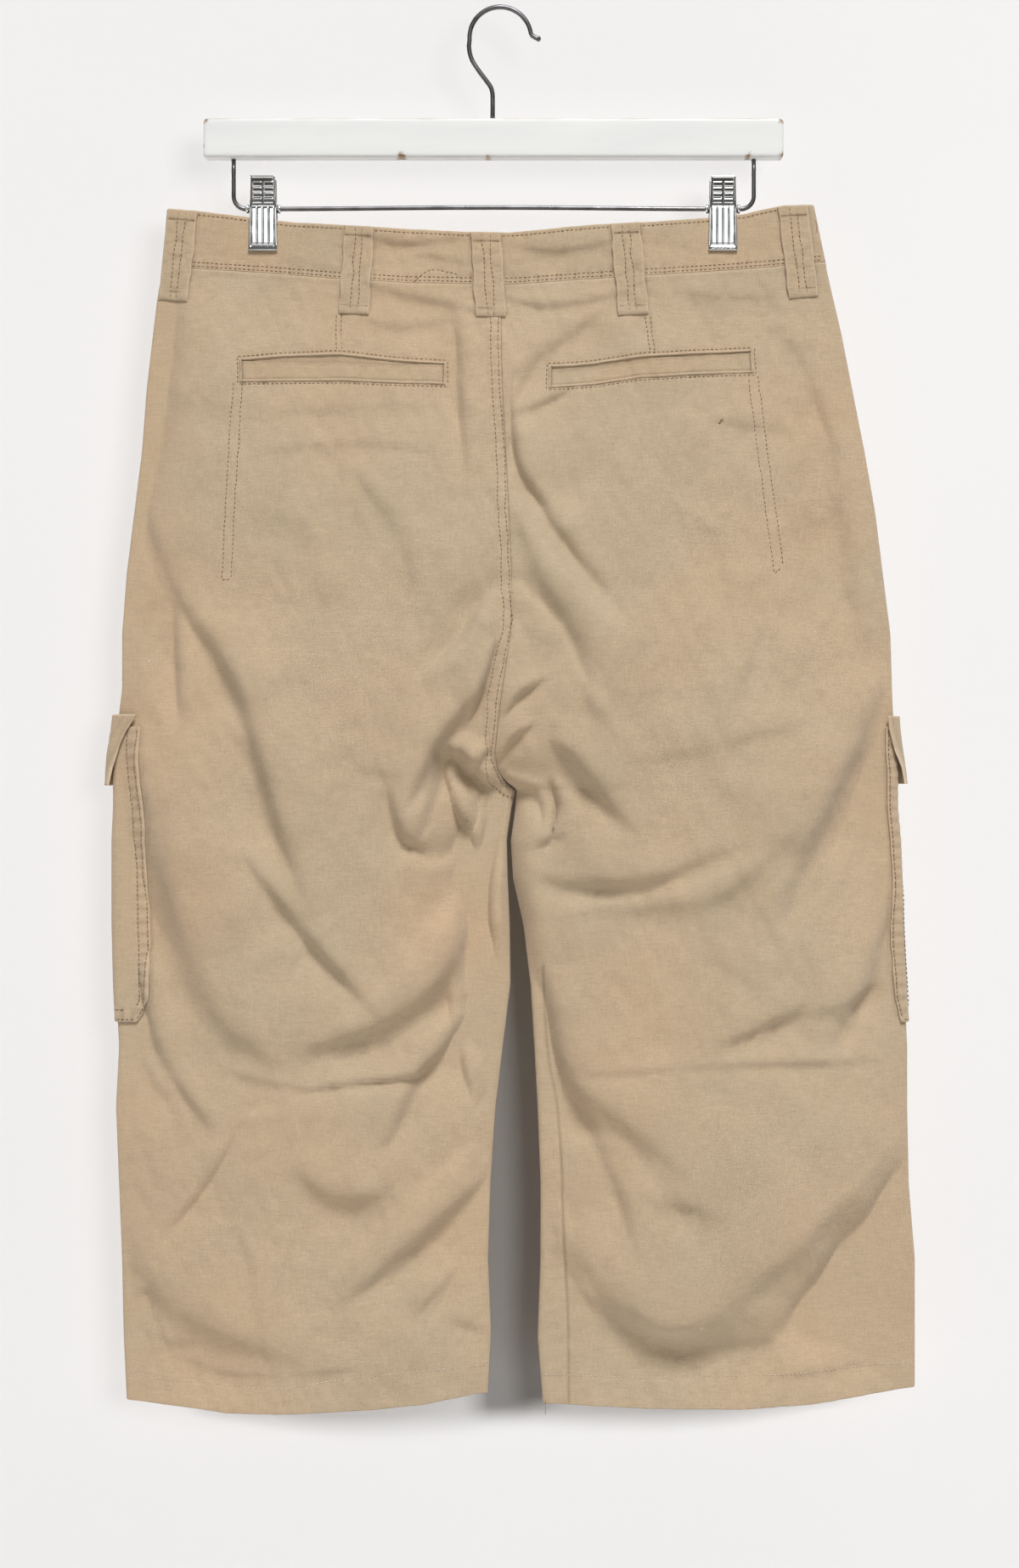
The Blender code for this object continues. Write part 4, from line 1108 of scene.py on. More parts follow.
def panel(side, face):
    """One cut piece from the centre seam or inseam to the side seam."""
    flat_part = SHARES[face]
    share = np.concatenate([[0.0, 0.002, 0.004], flat_part, np.ones(len(TURN))])[None]
    fan = np.concatenate([[-1.0, -0.67, -0.33], np.zeros(len(flat_part)), TURN])[None]
    level = LEVELS[face][:, None]
    rise = felled(side, face, share, level) - edge_curl(HEM - level, 1.0) * 0.6
    rise = rise + (BAND_RISE - 0.15) * smooth((173.0 - level) / 3.5)
    apart = np.array([side * PANEL_APART, OUTWARD[face] * PANEL_APART, 0.0])
    walls = [skin(side, face, share, fan, level, out) + apart for out in (SKIN + rise, SKIN - CLOTH)]
    if face == FRONT:
        peek = front_hem_peek(walls[0][..., 0], level)
        for surface in walls:
            surface[..., 2] -= peek
    x, down = walls[0][..., 0], -walls[0][..., 2]
    node = f"{FACE_WORDS[face]}_{SIDES[side]}"
    marks = sample(tone[face], x, down)
    made = cut_piece(node, walls, "cloth", marks)
    washed = wash_at(face, x, down).ravel()
    set_marks(made.data, "wash", np.concatenate([washed, washed]))


# ---------------------------------------------------------------- waistband and loops
def band_strip(level, out, detail):
    """Points all round the band, from its start at the centre front to its lapped end."""
    right_tip = core_ends(RIGHT, level)[1]
    left_tip = core_ends(LEFT, level)[1]

    def stretch(face, start, end, count):
        x = start + (end - start) * np.linspace(0.0, 1.0, count)
        return on_face(face, x, level, out, detail)

    arc = CAP_ARC * np.array([0.3, 0.65, 1.0, 1.35, 1.7])
    lap_x = np.concatenate([np.linspace(-30, -18, 4), np.linspace(-14, BAND_OVER_END, 12)])[None]
    lap_out = out + BAND_LAP * smooth((lap_x - BAND_LAP_START) / 16)
    return np.concatenate([
        stretch(FRONT, BAND_UNDER_END, right_tip, 70),
        ring(RIGHT, arc[::-1], level, out, detail),
        stretch(BACK, right_tip, left_tip, 260),
        ring(LEFT, arc, level, out, detail),
        stretch(FRONT, left_tip, BAND_LAP_START, 60),
        on_face(FRONT, lap_x, level, lap_out, detail),
    ], axis=1)


def waistband():
    """One strip all round. Its end laps over its start at the centre front."""
    fold = BAND_TOP + np.array([0.0, 0.25, 0.6, 1.1, 1.8, 2.6, 3.4, 4.4])
    level = np.concatenate([fold, np.linspace(136.8, 165.4, 22), [166.4, 167.2, 167.7, SEAM_TOP]])
    level = level[:, None]
    outer = SKIN + BAND_RISE
    curl = edge_curl(level - BAND_TOP, 1.05) + 0.3 * edge_curl(SEAM_TOP - level, 0.8)
    outside = band_strip(level, outer - curl, True)
    inside = band_strip(level, outer - BAND_CLOTH + curl * 0.8, False)
    marks = sample(tone[BACK], outside[..., 0], -outside[..., 2])
    marks = marks + 0.22 * bell(level - BAND_TOP, 0.9)
    marks = marks + 0.1 * bell(SEAM_TOP - level, 1.1)
    cut_piece("waistband", (outside, inside), "trim_cloth", marks)


def loop_place(loop, share, across, lift):
    """Points on a loop: share runs down it, across from -0.5 to 0.5."""
    _, face, top_x, bottom_x, bottom_down = loop
    share, across = np.broadcast_arrays(share, across)
    x = top_x + (bottom_x - top_x) * share + LOOP_WIDTH * across
    last = level_of(np.array(bottom_x), np.array(bottom_down))
    level = BAND_TOP + 0.3 + (last - BAND_TOP - 0.3) * share
    return on_face(face, x, level, SKIN + column(LOOP_LIFT, 1, share) + lift, False)


def belt_loop(loop):
    """A folded strip, doubled at both ends, with wrinkles across it."""
    name, _, top_x, _, _ = loop
    share = np.concatenate([
        [0.0, 0.006, 0.016], np.linspace(0.03, 0.97, 58), [0.984, 0.994, 1.0],
    ])[:, None]
    across = np.concatenate([
        [-0.5, -0.488, -0.465], np.linspace(-0.43, 0.43, 20), [0.465, 0.488, 0.5],
    ])[None]
    from_top = share * LOOP_LONG
    from_end = (1.0 - share) * LOOP_LONG
    away = np.minimum(0.5 - np.abs(across), 0.5) * LOOP_WIDTH + 0 * share
    ends = np.minimum(share, 1.0 - share) * LOOP_LONG
    rows = sum(bell(across * LOOP_WIDTH - at, 0.7) for at in LOOP_ROWS)
    doubled = smooth((6.2 - from_top) / 0.8) + smooth((7.0 - from_end) / 0.8)
    rng = np.random.default_rng(int(abs(top_x)))
    wave = 0.18 * np.sin(share * 34.0 + rng.uniform(0, 6)) * np.cos(across * 7.0 + rng.uniform(0, 6))
    curl = edge_curl(away, 0.8) + edge_curl(ends, 0.7)
    height = LOOP_CLOTH - curl - 0.1 * rows + 0.3 * doubled + wave * (away > 1.2)
    wrinkles = 0.0
    for at in rng.uniform((0.2, 0.34, 0.45, 0.52, 0.62), (0.26, 0.4, 0.49, 0.58, 0.72)):
        bend = (share - at - 0.03 * np.sin(across * 5.0 + 30.0 * at)) * LOOP_LONG
        wrinkles = wrinkles + rng.uniform(0.3, 1.0) * bell(bend, 0.8)
    height = height - 0.3 * wrinkles * smooth(away / 1.5)
    height = height - 0.5 * smooth(1.0 - from_end / 3.0)
    walls = [loop_place(loop, share, across, lift) for lift in (np.maximum(height, 0.1), 0 * height)]
    # The tone is lighter along the edges, the ends and near the bottom end as wear, and darker as painted
    # shade in the wrinkles and in a line below the doubled top end
    marks = 0.45 * bell(away, 0.9) + 0.3 * bell(ends, 0.8)
    marks = marks - 0.2 * bell(from_top - 6.6, 0.6) - 0.12 * wrinkles
    marks = marks + 0.16 * bell(from_end - 3.0, 1.6)
    cut_piece(name, walls, "trim_cloth", marks)


# ---------------------------------------------------------------- welts
def welt_level(table, x, share):
    down = column(table, 1, x) + (column(table, 2, x) - column(table, 1, x)) * share
    return level_of(x, down)


def welt(side):
    """A window in the back with a folded edge all round. The welt fills it up to the mouth."""
    table = WELTS[side]
    first, last = table[0, 0], table[-1, 0]
    x = np.concatenate([
        first + np.array([0.0, 0.3, 0.7, 1.1, 1.5, 1.9, 2.3, 2.9]),
        np.linspace(first + 3.6, last - 3.6, 96),
        last - np.array([2.9, 2.3, 1.9, 1.5, 1.1, 0.7, 0.3, 0.0]),
    ])[None]
    tall = column(table, 2, x) - column(table, 1, x)
    gape = column(table, 3, x)
    run = np.concatenate([
        np.linspace(0.0, 8.4, 25), np.linspace(9.2, 12.0, 4), np.linspace(12.5, 15.4, 10),
    ])
    share = np.clip(run[:, None] / 15.4, 0.0, 1.0)
    top = share * tall
    bottom = (1.0 - share) * tall
    ends = np.minimum(x - first, last - x) + 0 * share
    rim = np.minimum(np.minimum(top, bottom), ends)
    upper = smooth((bottom - top) / 4.0 + 0.5)
    bead = (0.2 + 0.5 * upper) * bell(rim - 0.75, 0.62)
    crease = bell(np.minimum(bottom, ends) - 1.9, 0.5)
    mouth = smooth((top - 1.25) / 0.35) * smooth((1.35 + gape - top) / 0.4)
    mouth = mouth * smooth((ends - 1.5) / 0.5)
    lip = bell(top - 1.9 - gape, 0.6) * smooth((ends - 1.8) / 0.5)
    filling = WELT_CLOTH - 0.55 + 0.12 * np.sin(x / 9.0) * np.sin(share * 3.1)
    height = filling + bead - 0.2 * crease - 0.9 * mouth + 0.3 * lip - edge_curl(rim, 0.5) * 0.9
    height = height - 0.5 * bell(bottom, 2.2)
    level = welt_level(table, x, share)
    base = SKIN + PATCH_GAP * 0.35
    walls = [on_face(BACK, x, level, out, False) for out in (base + np.maximum(height, 0.12), base - 0.3)]
    # The tone is lighter along the folded rim as wear, and darker as painted shade in the crease, in the
    # mouth, in a line at the top of the mouth and at the ends
    marks = 0.3 * bell(rim - 0.6, 0.55) - 0.16 * crease - 0.14 * mouth
    marks = marks - 0.45 * bell(top - 1.2 - gape, 0.42) * smooth((ends - 1.6) / 0.5)
    marks = marks - 0.4 * bell(ends - 1.6, 0.7)
    word = SIDES[side]
    cut_piece("back_welt_" + word, walls, "trim_cloth", marks)


# ---------------------------------------------------------------- cargo pockets and flaps
def pocket_reach(side, level):
    """How far a pocket runs over the front from where the side's turn ends."""
    inner, tip = core_ends(side, level)
    return (1.0 - POCKET_FRONT_SHARE) * np.abs(tip - inner)


def corner_cut(level):
    """How far a pocket's edges come in at its cut-off bottom corners."""
    return np.clip((level - (POCKET_BOTTOM - CHAMFER)) / CHAMFER, 0.0, 1.0) * CHAMFER


def pocket_rear(side, level):
    """Where a pocket's rear edge lies round the side."""
    return -column(POCKET_BACK[side], 1, level) - POCKET_TUCK


def flap_flare(side, level, around):
    """How far a flap stands away from the leg. It fades out from the rear end."""
    past = np.clip(around - CAP_ARC * 0.6, 0.0, None)
    return column(FLAPS[side], 2, level) * bell(past, 14.0)


def around_side(side, first, level, over, rear_steps, front_steps):
    """Columns from a rear edge round the side seam and over the front."""
    rear = first * np.linspace(1.0, 0.0, rear_steps)[None]
    turn = 2 * CAP_ARC * np.linspace(0.1, 0.9, 9)[None] + 0 * level
    last = pocket_reach(side, level) + over
    front = 2 * CAP_ARC + last * np.linspace(0.0, 1.0, front_steps)[None]
    return np.concatenate([rear, turn, front], axis=1)


def cargo_pocket(side):
    """A patch pocket that wraps the side, with its bottom corners cut off."""
    level = np.concatenate([
        [470.6, 471.2], np.linspace(472.5, 660.0, 84), [661.5, 662.6, 663.4, POCKET_BOTTOM],
    ])[:, None]
    around = around_side(side, pocket_rear(side, level), level, -corner_cut(level), 16, 66)
    side_away = np.minimum(around - around[:, :1], around[:, -1:] - around)
    foot_away = POCKET_BOTTOM - level + 0 * around
    away = np.minimum(side_away, foot_away)
    rows = sum(bell(away - inset, 0.8) for inset in POCKET_ROWS)
    run = np.where(foot_away < side_away, around, level)
    pucker = 0.22 * np.sin(run / 1.15 + 1.4 * np.sin(run / 9.0)) * bell(away - 4.5, 5.0)
    height = POCKET_CLOTH - edge_curl(away, 0.9) - 0.22 * rows + pucker * (away > 0.8)
    base = SKIN + PATCH_GAP
    walls = [ring(side, around, level, out, False) for out in (base + height, base)]
    # The tone is lighter along the edge as wear; its puckers are lighter on the crests as wear and darker
    # in the hollows as painted shade, and the stitch rows are darker as painted shade in their grooves
    marks = 0.3 * bell(away, 0.9) + 0.9 * pucker - 0.05 * rows
    word = SIDES[side]
    cut_piece("cargo_pocket_" + word, walls, "cloth", marks)


def pocket_flap(side):
    """The flap over the pocket's mouth. Its rear lower corner stands away from the leg."""
    table = FLAPS[side]
    low, high = table[0, 0], table[-1, 0]
    level = np.concatenate([
        [low, low + 0.4, low + 0.9], np.linspace(low + 1.8, high - 1.8, 32),
        [high - 0.9, high - 0.4, high],
    ])[:, None]
    first = column(table, 1, level)
    around = around_side(side, np.minimum(first, 0.0), level, FLAP_FRONT_REACH, 12, 70)
    around = around + np.maximum(first, 0.0) * np.exp(-np.clip(around, 0.0, None) / CAP_ARC)
    side_away = np.minimum(around - around[:, :1], around[:, -1:] - around)
    away = np.minimum(side_away, high - level)
    rows = sum(bell(away - inset, 0.7) for inset in FLAP_ROWS)
    rim = np.minimum(away, level - low)
    wave = 0.2 * np.sin(around / 5.0 + level / 7.0)
    height = FLAP_CLOTH - edge_curl(rim, 0.8) - 0.2 * rows + wave * smooth(rim / 3.0)
    base = FLAP_OUT + flap_flare(side, level, around)
    walls = [ring(side, around, level, out, False) for out in (base + height, base)]
    # The tone is lighter along the rim as wear and darker along the stitch rows as painted shade in their
    # grooves
    marks = 0.5 * bell(rim, 0.9) - 0.16 * rows
    word = SIDES[side]
    node = "pocket_flap_" + word
    cut_piece(node, walls, "trim_cloth", marks)


# ---------------------------------------------------------------- front closing
def fly_level(x, share):
    top = column(WAIST_LINE, 1, x) + 1.0
    bottom = np.interp(x, FLY_X, FLY_BOTTOM)
    return level_of(x, top + (bottom - top) * share)


def fly_placket():
    share = np.concatenate([np.linspace(0.0, 0.985, 70), [0.993, 1.0]])[:, None]
    x = np.concatenate([[-36.0, -35.7, -35.2], np.linspace(-34.4, -2.0, 28), [-1.5, -1.2, -1.0]])[None]
    away = np.minimum(x - FLY_X[0], FLY_X[-1] - x) + 0 * share
    height = CLOTH - edge_curl(away, 0.7) + 0.1 * np.sin(share * 40.0) * smooth(away / 3.0)
    level = fly_level(x, share)
    walls = [on_face(FRONT, x, level, out, False) for out in (FLY_OUT + height, FLY_OUT)]
    marks = 0.3 * bell(away, 0.8)
    cut_piece("fly_placket", walls, "trim_cloth", marks)


def button():
    """A four-hole button: a dished disc, with pits for the holes."""
    seat = on_face(FRONT, *BUTTON_PLACE, SKIN + BAND_RISE + BAND_LAP + 0.5, False)
    turns = np.linspace(0.0, 2 * math.pi, 64, endpoint=False)
    radii = np.concatenate([
        np.linspace(0.02, 0.55, 14), np.linspace(0.6, 0.985, 14), [1.0, 1.0, 0.985],
    ])
    deep = np.concatenate([
        np.full(14, 0.62), np.linspace(0.66, 1.0, 5), np.full(6, 1.0), [0.98, 0.92, 0.8],
        [0.6, 0.25, 0.0],
    ])
    flat_x = BUTTON_RADIUS * radii[:, None] * np.cos(turns)
    flat_z = BUTTON_RADIUS * radii[:, None] * np.sin(turns)
    lift = BUTTON_DEEP * deep[:, None] + 0 * flat_x
    for hole_x in (-1.5, 1.5):
        for hole_z in (-1.5, 1.5):
            lift = lift - 1.2 * bell((flat_x - hole_x) ** 2 + (flat_z - hole_z) ** 2, 0.55)
    points = np.stack([flat_x, np.maximum(lift, 0.0), flat_z], axis=-1) + seat
    index = numbered(points)
    faces = [wrap_faces(index), index[0][None], index[-1][None, ::-1]]
    made = add_mesh("waist_button_horn", points.reshape(-1, 3), faces, horn)
    stood_for(made, "waist_button")


for side in SIDES:
    for face in FACES:
        panel(side, face)
waistband()
for loop in LOOPS:
    belt_loop(loop)
for side in SIDES:
    welt(side)
    cargo_pocket(side)
    pocket_flap(side)
fly_placket()
button()


# ---------------------------------------------------------------- stitches
STITCH_PITCH = 3.0
STITCH_LONG = 2.3
STITCH_RADIUS = 0.34


def threads(starts, ends, normals, radius):
    """Points and faces of many short threads, each a spindle of two rings and two tips."""
    along = ends - starts
    long = np.linalg.norm(along, axis=1)[:, None]
    along = along / long
    up = normals / np.linalg.norm(normals, axis=1)[:, None]
    across = np.cross(along, up)
    points = [starts - up * radius * 0.7]
    for share, lift in ((0.2, 0.4), (0.8, 0.4)):
        middle = starts + along * long * share + up * radius * lift
        for turn in range(4):
            angle = math.pi / 2 * turn
            points.append(middle + radius * (math.cos(angle) * across + math.sin(angle) * up))
    points.append(ends - up * radius * 0.7)
    points = np.stack(points, axis=1)
    first = (np.arange(len(starts)) * 10)[:, None, None]
    turns = [(turn, (turn + 1) % 4) for turn in range(4)]
    caps = [(0, 1 + b, 1 + a) for a, b in turns] + [(9, 5 + a, 5 + b) for a, b in turns]
    sides = [(1 + a, 1 + b, 5 + b, 5 + a) for a, b in turns]
    triangles = (first + np.array(caps)[None]).reshape(-1, 3)
    quads = (first + np.array(sides)[None]).reshape(-1, 4)
    return points.reshape(-1, 3), triangles, quads


def run_along(line):
    """The length along the line up to each of its points."""
    return np.concatenate([[0.0], np.cumsum(np.linalg.norm(np.diff(line, axis=0), axis=1))])


def at_run(values, run, at):
    """What the values of a line's points are at these lengths along it."""
    return np.stack([np.interp(at, run, value) for value in values.T], axis=1)


def stitched(name, rows, look=thread):
    """One mesh of all the stitches of these rows. A row is a line of points and its normals."""
    made_points, made_triangles, made_quads = [], [], []
    count = 0
    for number, (line, normals) in enumerate(rows):
        run = run_along(line)
        rng = np.random.default_rng(500 + number)
        at = np.arange(0.4, run[-1] - STITCH_LONG, STITCH_PITCH)
        if not len(at):
            continue
        at = at + rng.uniform(-0.15, 0.15, len(at))
        starts, ends = at_run(line, run, at), at_run(line, run, at + STITCH_LONG)
        up = at_run(normals, run, at + STITCH_LONG / 2)
        points, triangles, quads = threads(starts, ends, up, STITCH_RADIUS)
        made_points.append(points)
        made_triangles.append(triangles + count)
        made_quads.append(quads + count)
        count += len(points)
    faces = [np.concatenate(made_triangles), np.concatenate(made_quads)]
    return add_mesh(name, np.concatenate(made_points), faces, look)


def tacked(name, ends, radius=0.24, look=thread):
    """One mesh of short threads, from pairs of end points with a normal."""
    starts, stops, ups = (np.array(part, dtype=float) for part in zip(*ends))
    points, triangles, quads = threads(starts, stops, ups, radius)
    return add_mesh(name, points, [triangles, quads], look)


def dense(points):
    """The points of a line, about a millimetre apart."""
    line = soft_line(points)
    run = run_along(line)
    return at_run(line, run, np.linspace(0.0, run[-1], max(3, int(run[-1]))))


def lifted(place, out):
    """A row of stitches: its points this far out, and the directions away from the cloth."""
    low = place(out)
    return low, place(out + 1.0) - low


def row_on(face, points, out=SKIN, detail=True):
    """A row of stitches on one face, from points (x, down)."""
    x, down = dense(points).T
    level = level_of(x, down)
    return lifted(lambda lift: on_face(face, x, level, lift, detail), out)


def stitch_back():
    rows = [row_on(BACK, points[::2], SKIN + FELL_RISE) for points in SEAT_ROWS]
    for points in DARTS:
        rows.append(row_on(BACK, points))
        rows.append(row_on(BACK, [(x - 3.2, down) for x, down in points]))
    for bag in BAG_ROWS:
        rows += [row_on(BACK, points) for points in bag]
        rows.append(row_on(BACK, (bag[0][-1], bag[1][-1])))
    for table in WELTS.values():
        top, bottom = welt_frame(table, 1.4)
        for points in (top, bottom, (top[0], bottom[-1]), (top[-1], bottom[0])):
            rows.append(row_on(BACK, points))
    stitched("stitches_back", rows)


def stitch_hems():
    rows = [row_on(face, points) for face in FACES for points in HEM_ROWS]
    stitched("stitches_hems", rows, look=pale_thread)


def stitch_waistband():
    out = SKIN + BAND_RISE
    rows = [row_on(BACK, points, out) for points in (BAND_ROW, *WAIST_ROWS, REPAIR_HUMP)]
    for points in (BAND_ROW, *WAIST_ROWS):
        for low, high in ((-216.0, -34.0), (22.0, 204.0)):
            rows.append(row_on(FRONT, [place for place in points if low <= place[0] <= high], out))
        lap = [(x, np.interp(x, *zip(*points))) for x in (-14.0, 2.0, 18.5)]
        rows.append(row_on(FRONT, lap, out + BAND_LAP))
    stitched("stitches_waistband", rows)


def loop_row(loop, shares, across, out):
    shares, across = np.broadcast_arrays(np.asarray(shares, float), np.asarray(across, float))
    return lifted(lambda lift: loop_place(loop, shares, across, lift), out)


def stitch_loops():
    """Two rows down each loop, and a dense bartack across both its ends."""
    rows = []
    tacks = []
    across = np.linspace(-0.42, 0.42, 18)
    for loop in LOOPS:
        for at in LOOP_ROWS:
            down = np.linspace(0.02, 0.98, 50)
            rows.append(loop_row(loop, down, at / LOOP_WIDTH, LOOP_CLOTH - 0.05))
        for share in (0.095, 0.89):
            low, up = loop_row(loop, share, across, LOOP_CLOTH + 0.12)
            end, _ = loop_row(loop, share + 0.022, across, LOOP_CLOTH + 0.12)
            tacks += list(zip(low, end, up))
    stitched("stitches_loops", rows)
    tacked("bartacks_loops", tacks)


def stitch_front():
    """Two rows down the fly, two along each front pocket, and the centre seam's one."""
    rows = []
    for inset in FLY_ROWS:
        edge = FLY_X[0] + inset
        line = [(edge, 182.0), (edge, 280.0), (-34.0 + inset, 300.0),
                (-25.0 + inset * 0.6, 316.0 - inset), (-13.0, 328.5 - inset), (-3.0, 333.5 - inset)]
        rows.append(row_on(FRONT, line, FLY_OUT + CLOTH, False))
    for points in FRONT_POCKETS:
        rows.append(row_on(FRONT, points))
        rows.append(row_on(FRONT, beside(points, 5.0 if points[0][0] > 0 else -5.0)))
    rows.append(row_on(FRONT, FRONT_SEAM))
    stitched("stitches_front", rows)


def pocket_rows(side):
    """Two rows inside the pocket's rear, bottom and front edges, and two inside the flap's foot."""
    rows = []

    def add_row(around, level, out):
        rows.append(lifted(lambda lift: ring(side, around, level, lift, False), out))

    level = np.linspace(472.0, POCKET_BOTTOM, 180)
    rear = pocket_rear(side, level)
    front = 2 * CAP_ARC + pocket_reach(side, level) - corner_cut(level)
    out = SKIN + PATCH_GAP + POCKET_CLOTH
    for inset in POCKET_ROWS:
        keep = level < POCKET_BOTTOM - inset
        add_row((rear + inset)[keep], level[keep], out)
        add_row((front - inset)[keep], level[keep], out)
        foot = np.linspace(rear[-1] + inset, front[-1] - inset, 200)
        add_row(foot, np.full(200, POCKET_BOTTOM - inset), out)
    table = FLAPS[side]
    for inset in FLAP_ROWS:
        level = np.full(180, table[-1, 0] - inset)
        last = 2 * CAP_ARC + pocket_reach(side, level[0]) + FLAP_FRONT_REACH - inset
        around = np.linspace(column(table, 1, level[0]) + inset + 3.0, last, 180)
        add_row(around, level, FLAP_OUT + flap_flare(side, level, around) + FLAP_CLOTH)
    return rows


stitch_back()
stitch_hems()
stitch_waistband()
stitch_loops()
stitch_front()
stitched("stitches_pockets", pocket_rows(LEFT) + pocket_rows(RIGHT))


# Small things on the back: a brown speck, two bits of lint and two stray thread ends, (x, down)
SPECK = ((142.9, 273.0), (145.0, 270.2))
LINT = (((128.8, 861.6), (130.9, 860.8)), ((-230.2, 428.4), (-228.8, 427.2)))
THREAD_ENDS = (
    ((206.0, 139.0), (207.6, 140.4), (208.4, 142.6), (207.2, 144.6), (207.8, 146.8)),
    ((-3.4, 905.0), (-5.2, 907.2), (-6.6, 909.8), (-5.6, 912.0), (-6.4, 914.0)),
)
# name, lines, shifts of the strokes beside each other, radius, out, look
SMALL_THINGS = (
    ("speck", (SPECK,), (-0.5, 0.0, 0.5), 0.5, SKIN, thread),
    ("lint", LINT, (-0.3, 0.3), 0.34, SKIN, lint_look),
    ("thread_end_band", THREAD_ENDS[:1], (0.0,), 0.24, SKIN + BAND_RISE, thread),
    ("thread_end_hem", THREAD_ENDS[1:], (0.0,), 0.24, SKIN, thread),
)


def small_thing(name, lines, shifts, radius, out, look):
    """One mesh of short strokes along the lines."""
    strokes = []
    for points in lines:
        low, up = row_on(BACK, points, out)
        for shift in shifts:
            aside = np.array([shift, 0.0, 0.4 * shift])
            strokes += zip(low[:-1] + aside, low[1:] + aside, up[:-1])
    tacked(name, strokes, radius, look)


for row in SMALL_THINGS:
    small_thing(*row)


# ---------------------------------------------------------------- hanger
TUBE_SIDES = 16


def tube(name, line, radii, look):
    """A closed round tube along a line that lies in the XZ plane."""
    line = np.asarray(line, dtype=float)
    radii = np.broadcast_to(np.asarray(radii, dtype=float), (len(line),))
    along = np.gradient(line, axis=0)
    along /= np.linalg.norm(along, axis=1)[:, None]
    flat = np.stack([along[:, 2], 0 * along[:, 0], -along[:, 0]], axis=1)
    turns = np.linspace(0.0, 2 * math.pi, TUBE_SIDES, endpoint=False)
    across = (np.cos(turns)[None, :, None] * flat[:, None]
              + np.sin(turns)[None, :, None] * np.array([0.0, 1.0, 0.0]))
    points = line[:, None] + across * radii[:, None, None]
    index = numbered(points)
    faces = [wrap_faces(index)[:, [0, 3, 2, 1]], index[0][None, ::-1], index[-1][None]]
    return add_mesh(name, points.reshape(-1, 3), faces, look)


def arc_points(centre, radius, first, last, steps):
    """Points on an arc in the XZ plane, with angles in degrees from +X towards +Z."""
    angles = np.radians(np.linspace(first, last, steps))
    return [(centre[0] + radius * math.cos(a), 0.0, centre[1] + radius * math.sin(a)) for a in angles]


def in_plane(points):
    """The points (x, z) in the hanger's middle plane."""
    return [(x, 0.0, z) for x, z in points]


def hook():
    """A wire hook that ends in a small ball."""
    crest = arc_points(HOOK_CENTRE, HOOK_ARC, 184.0, 8.0, 40)
    line = np.concatenate([
        soft_line(in_plane(HOOK_STEM), 4), crest, soft_line(in_plane(HOOK_TIP), 4),
    ])
    ball = in_plane([(BALL_PLACE[0] + BALL_RUN[0] * share, BALL_PLACE[1] - BALL_RUN[1] * share)
                     for share in np.linspace(0.0, 1.0, 7)])
    ball_radii = BALL_RADIUS * np.sqrt(1 - np.linspace(0.0, 0.98, 7) ** 2)
    radii = np.concatenate([np.full(len(line), HOOK_RADIUS), ball_radii])
    made = tube("hook_wire", np.concatenate([line, ball]), radii, steel)
    stood_for(made, "hook")


def rail():
    """A wire that hangs under the bar by its bent ends, and bows up a little."""
    low = RAIL_Z + RAIL_BEND
    left = arc_points((RAIL_LEFT + RAIL_BEND, low), RAIL_BEND, 180.0, 270.0, 14)
    right = arc_points((RAIL_RIGHT - RAIL_BEND, low), RAIL_BEND, 270.0, 360.0, 14)
    ends = BAR_BOTTOM - 0.3
    run = np.linspace(RAIL_LEFT + RAIL_BEND + 4, RAIL_RIGHT - RAIL_BEND - 4, 60)
    share = (run - run[0]) / (run[-1] - run[0])
    middle = [(x, 0.0, RAIL_Z + RAIL_BOW * math.sin(math.pi * s) ** 2) for x, s in zip(run, share)]
    rise = in_plane(((RAIL_LEFT, ends), (RAIL_LEFT, ends - 8)))
    fall = in_plane(((RAIL_RIGHT, ends - 8), (RAIL_RIGHT, ends)))
    made = tube("rail_wire", [*rise, *left, *middle, *right, *fall], WIRE_RADIUS, steel)
    stood_for(made, "rail")


# Knocks on the bar: x, z, reach, depth
CHIPS = (
    (BAR_LEFT + 0.6, BAR_TOP - 0.6, 2.0, 0.7), (BAR_RIGHT - 0.8, BAR_TOP - 0.5, 2.2, 0.7),
    (BAR_RIGHT - 0.6, BAR_BOTTOM + 0.9, 1.6, 0.5), (-66.0, BAR_BOTTOM + 0.2, 1.9, 0.5),
    (-62.5, BAR_BOTTOM + 0.2, 1.3, 0.4), (-7.8, BAR_BOTTOM + 0.2, 1.4, 0.4),
    (162.0, BAR_BOTTOM + 0.2, 1.5, 0.4), (BAR_LEFT + 0.3, BAR_BOTTOM + 8.0, 1.1, 0.4),
)


def bar_section(half_deep, half_tall):
    """The bar's rounded outline, with points filled in along its straight sides."""
    corners = []
    for sign_y, sign_z, first in ((1, 1, 0), (-1, 1, 90), (-1, -1, 180), (1, -1, 270)):
        y, z = sign_y * (half_deep - BAR_ROUND), sign_z * (half_tall - BAR_ROUND)
        for angle in np.radians(np.linspace(first, first + 90, 6)):
            corners.append((y + BAR_ROUND * math.cos(angle), z + BAR_ROUND * math.sin(angle)))
    filled = []
    for a, b in zip(corners, corners[1:] + corners[:1]):
        count = max(1, int(math.hypot(b[0] - a[0], b[1] - a[1]) / 2.2))
        for share in np.arange(count) / count:
            filled.append((a[0] + (b[0] - a[0]) * share, a[1] + (b[1] - a[1]) * share))
    return np.array(filled)


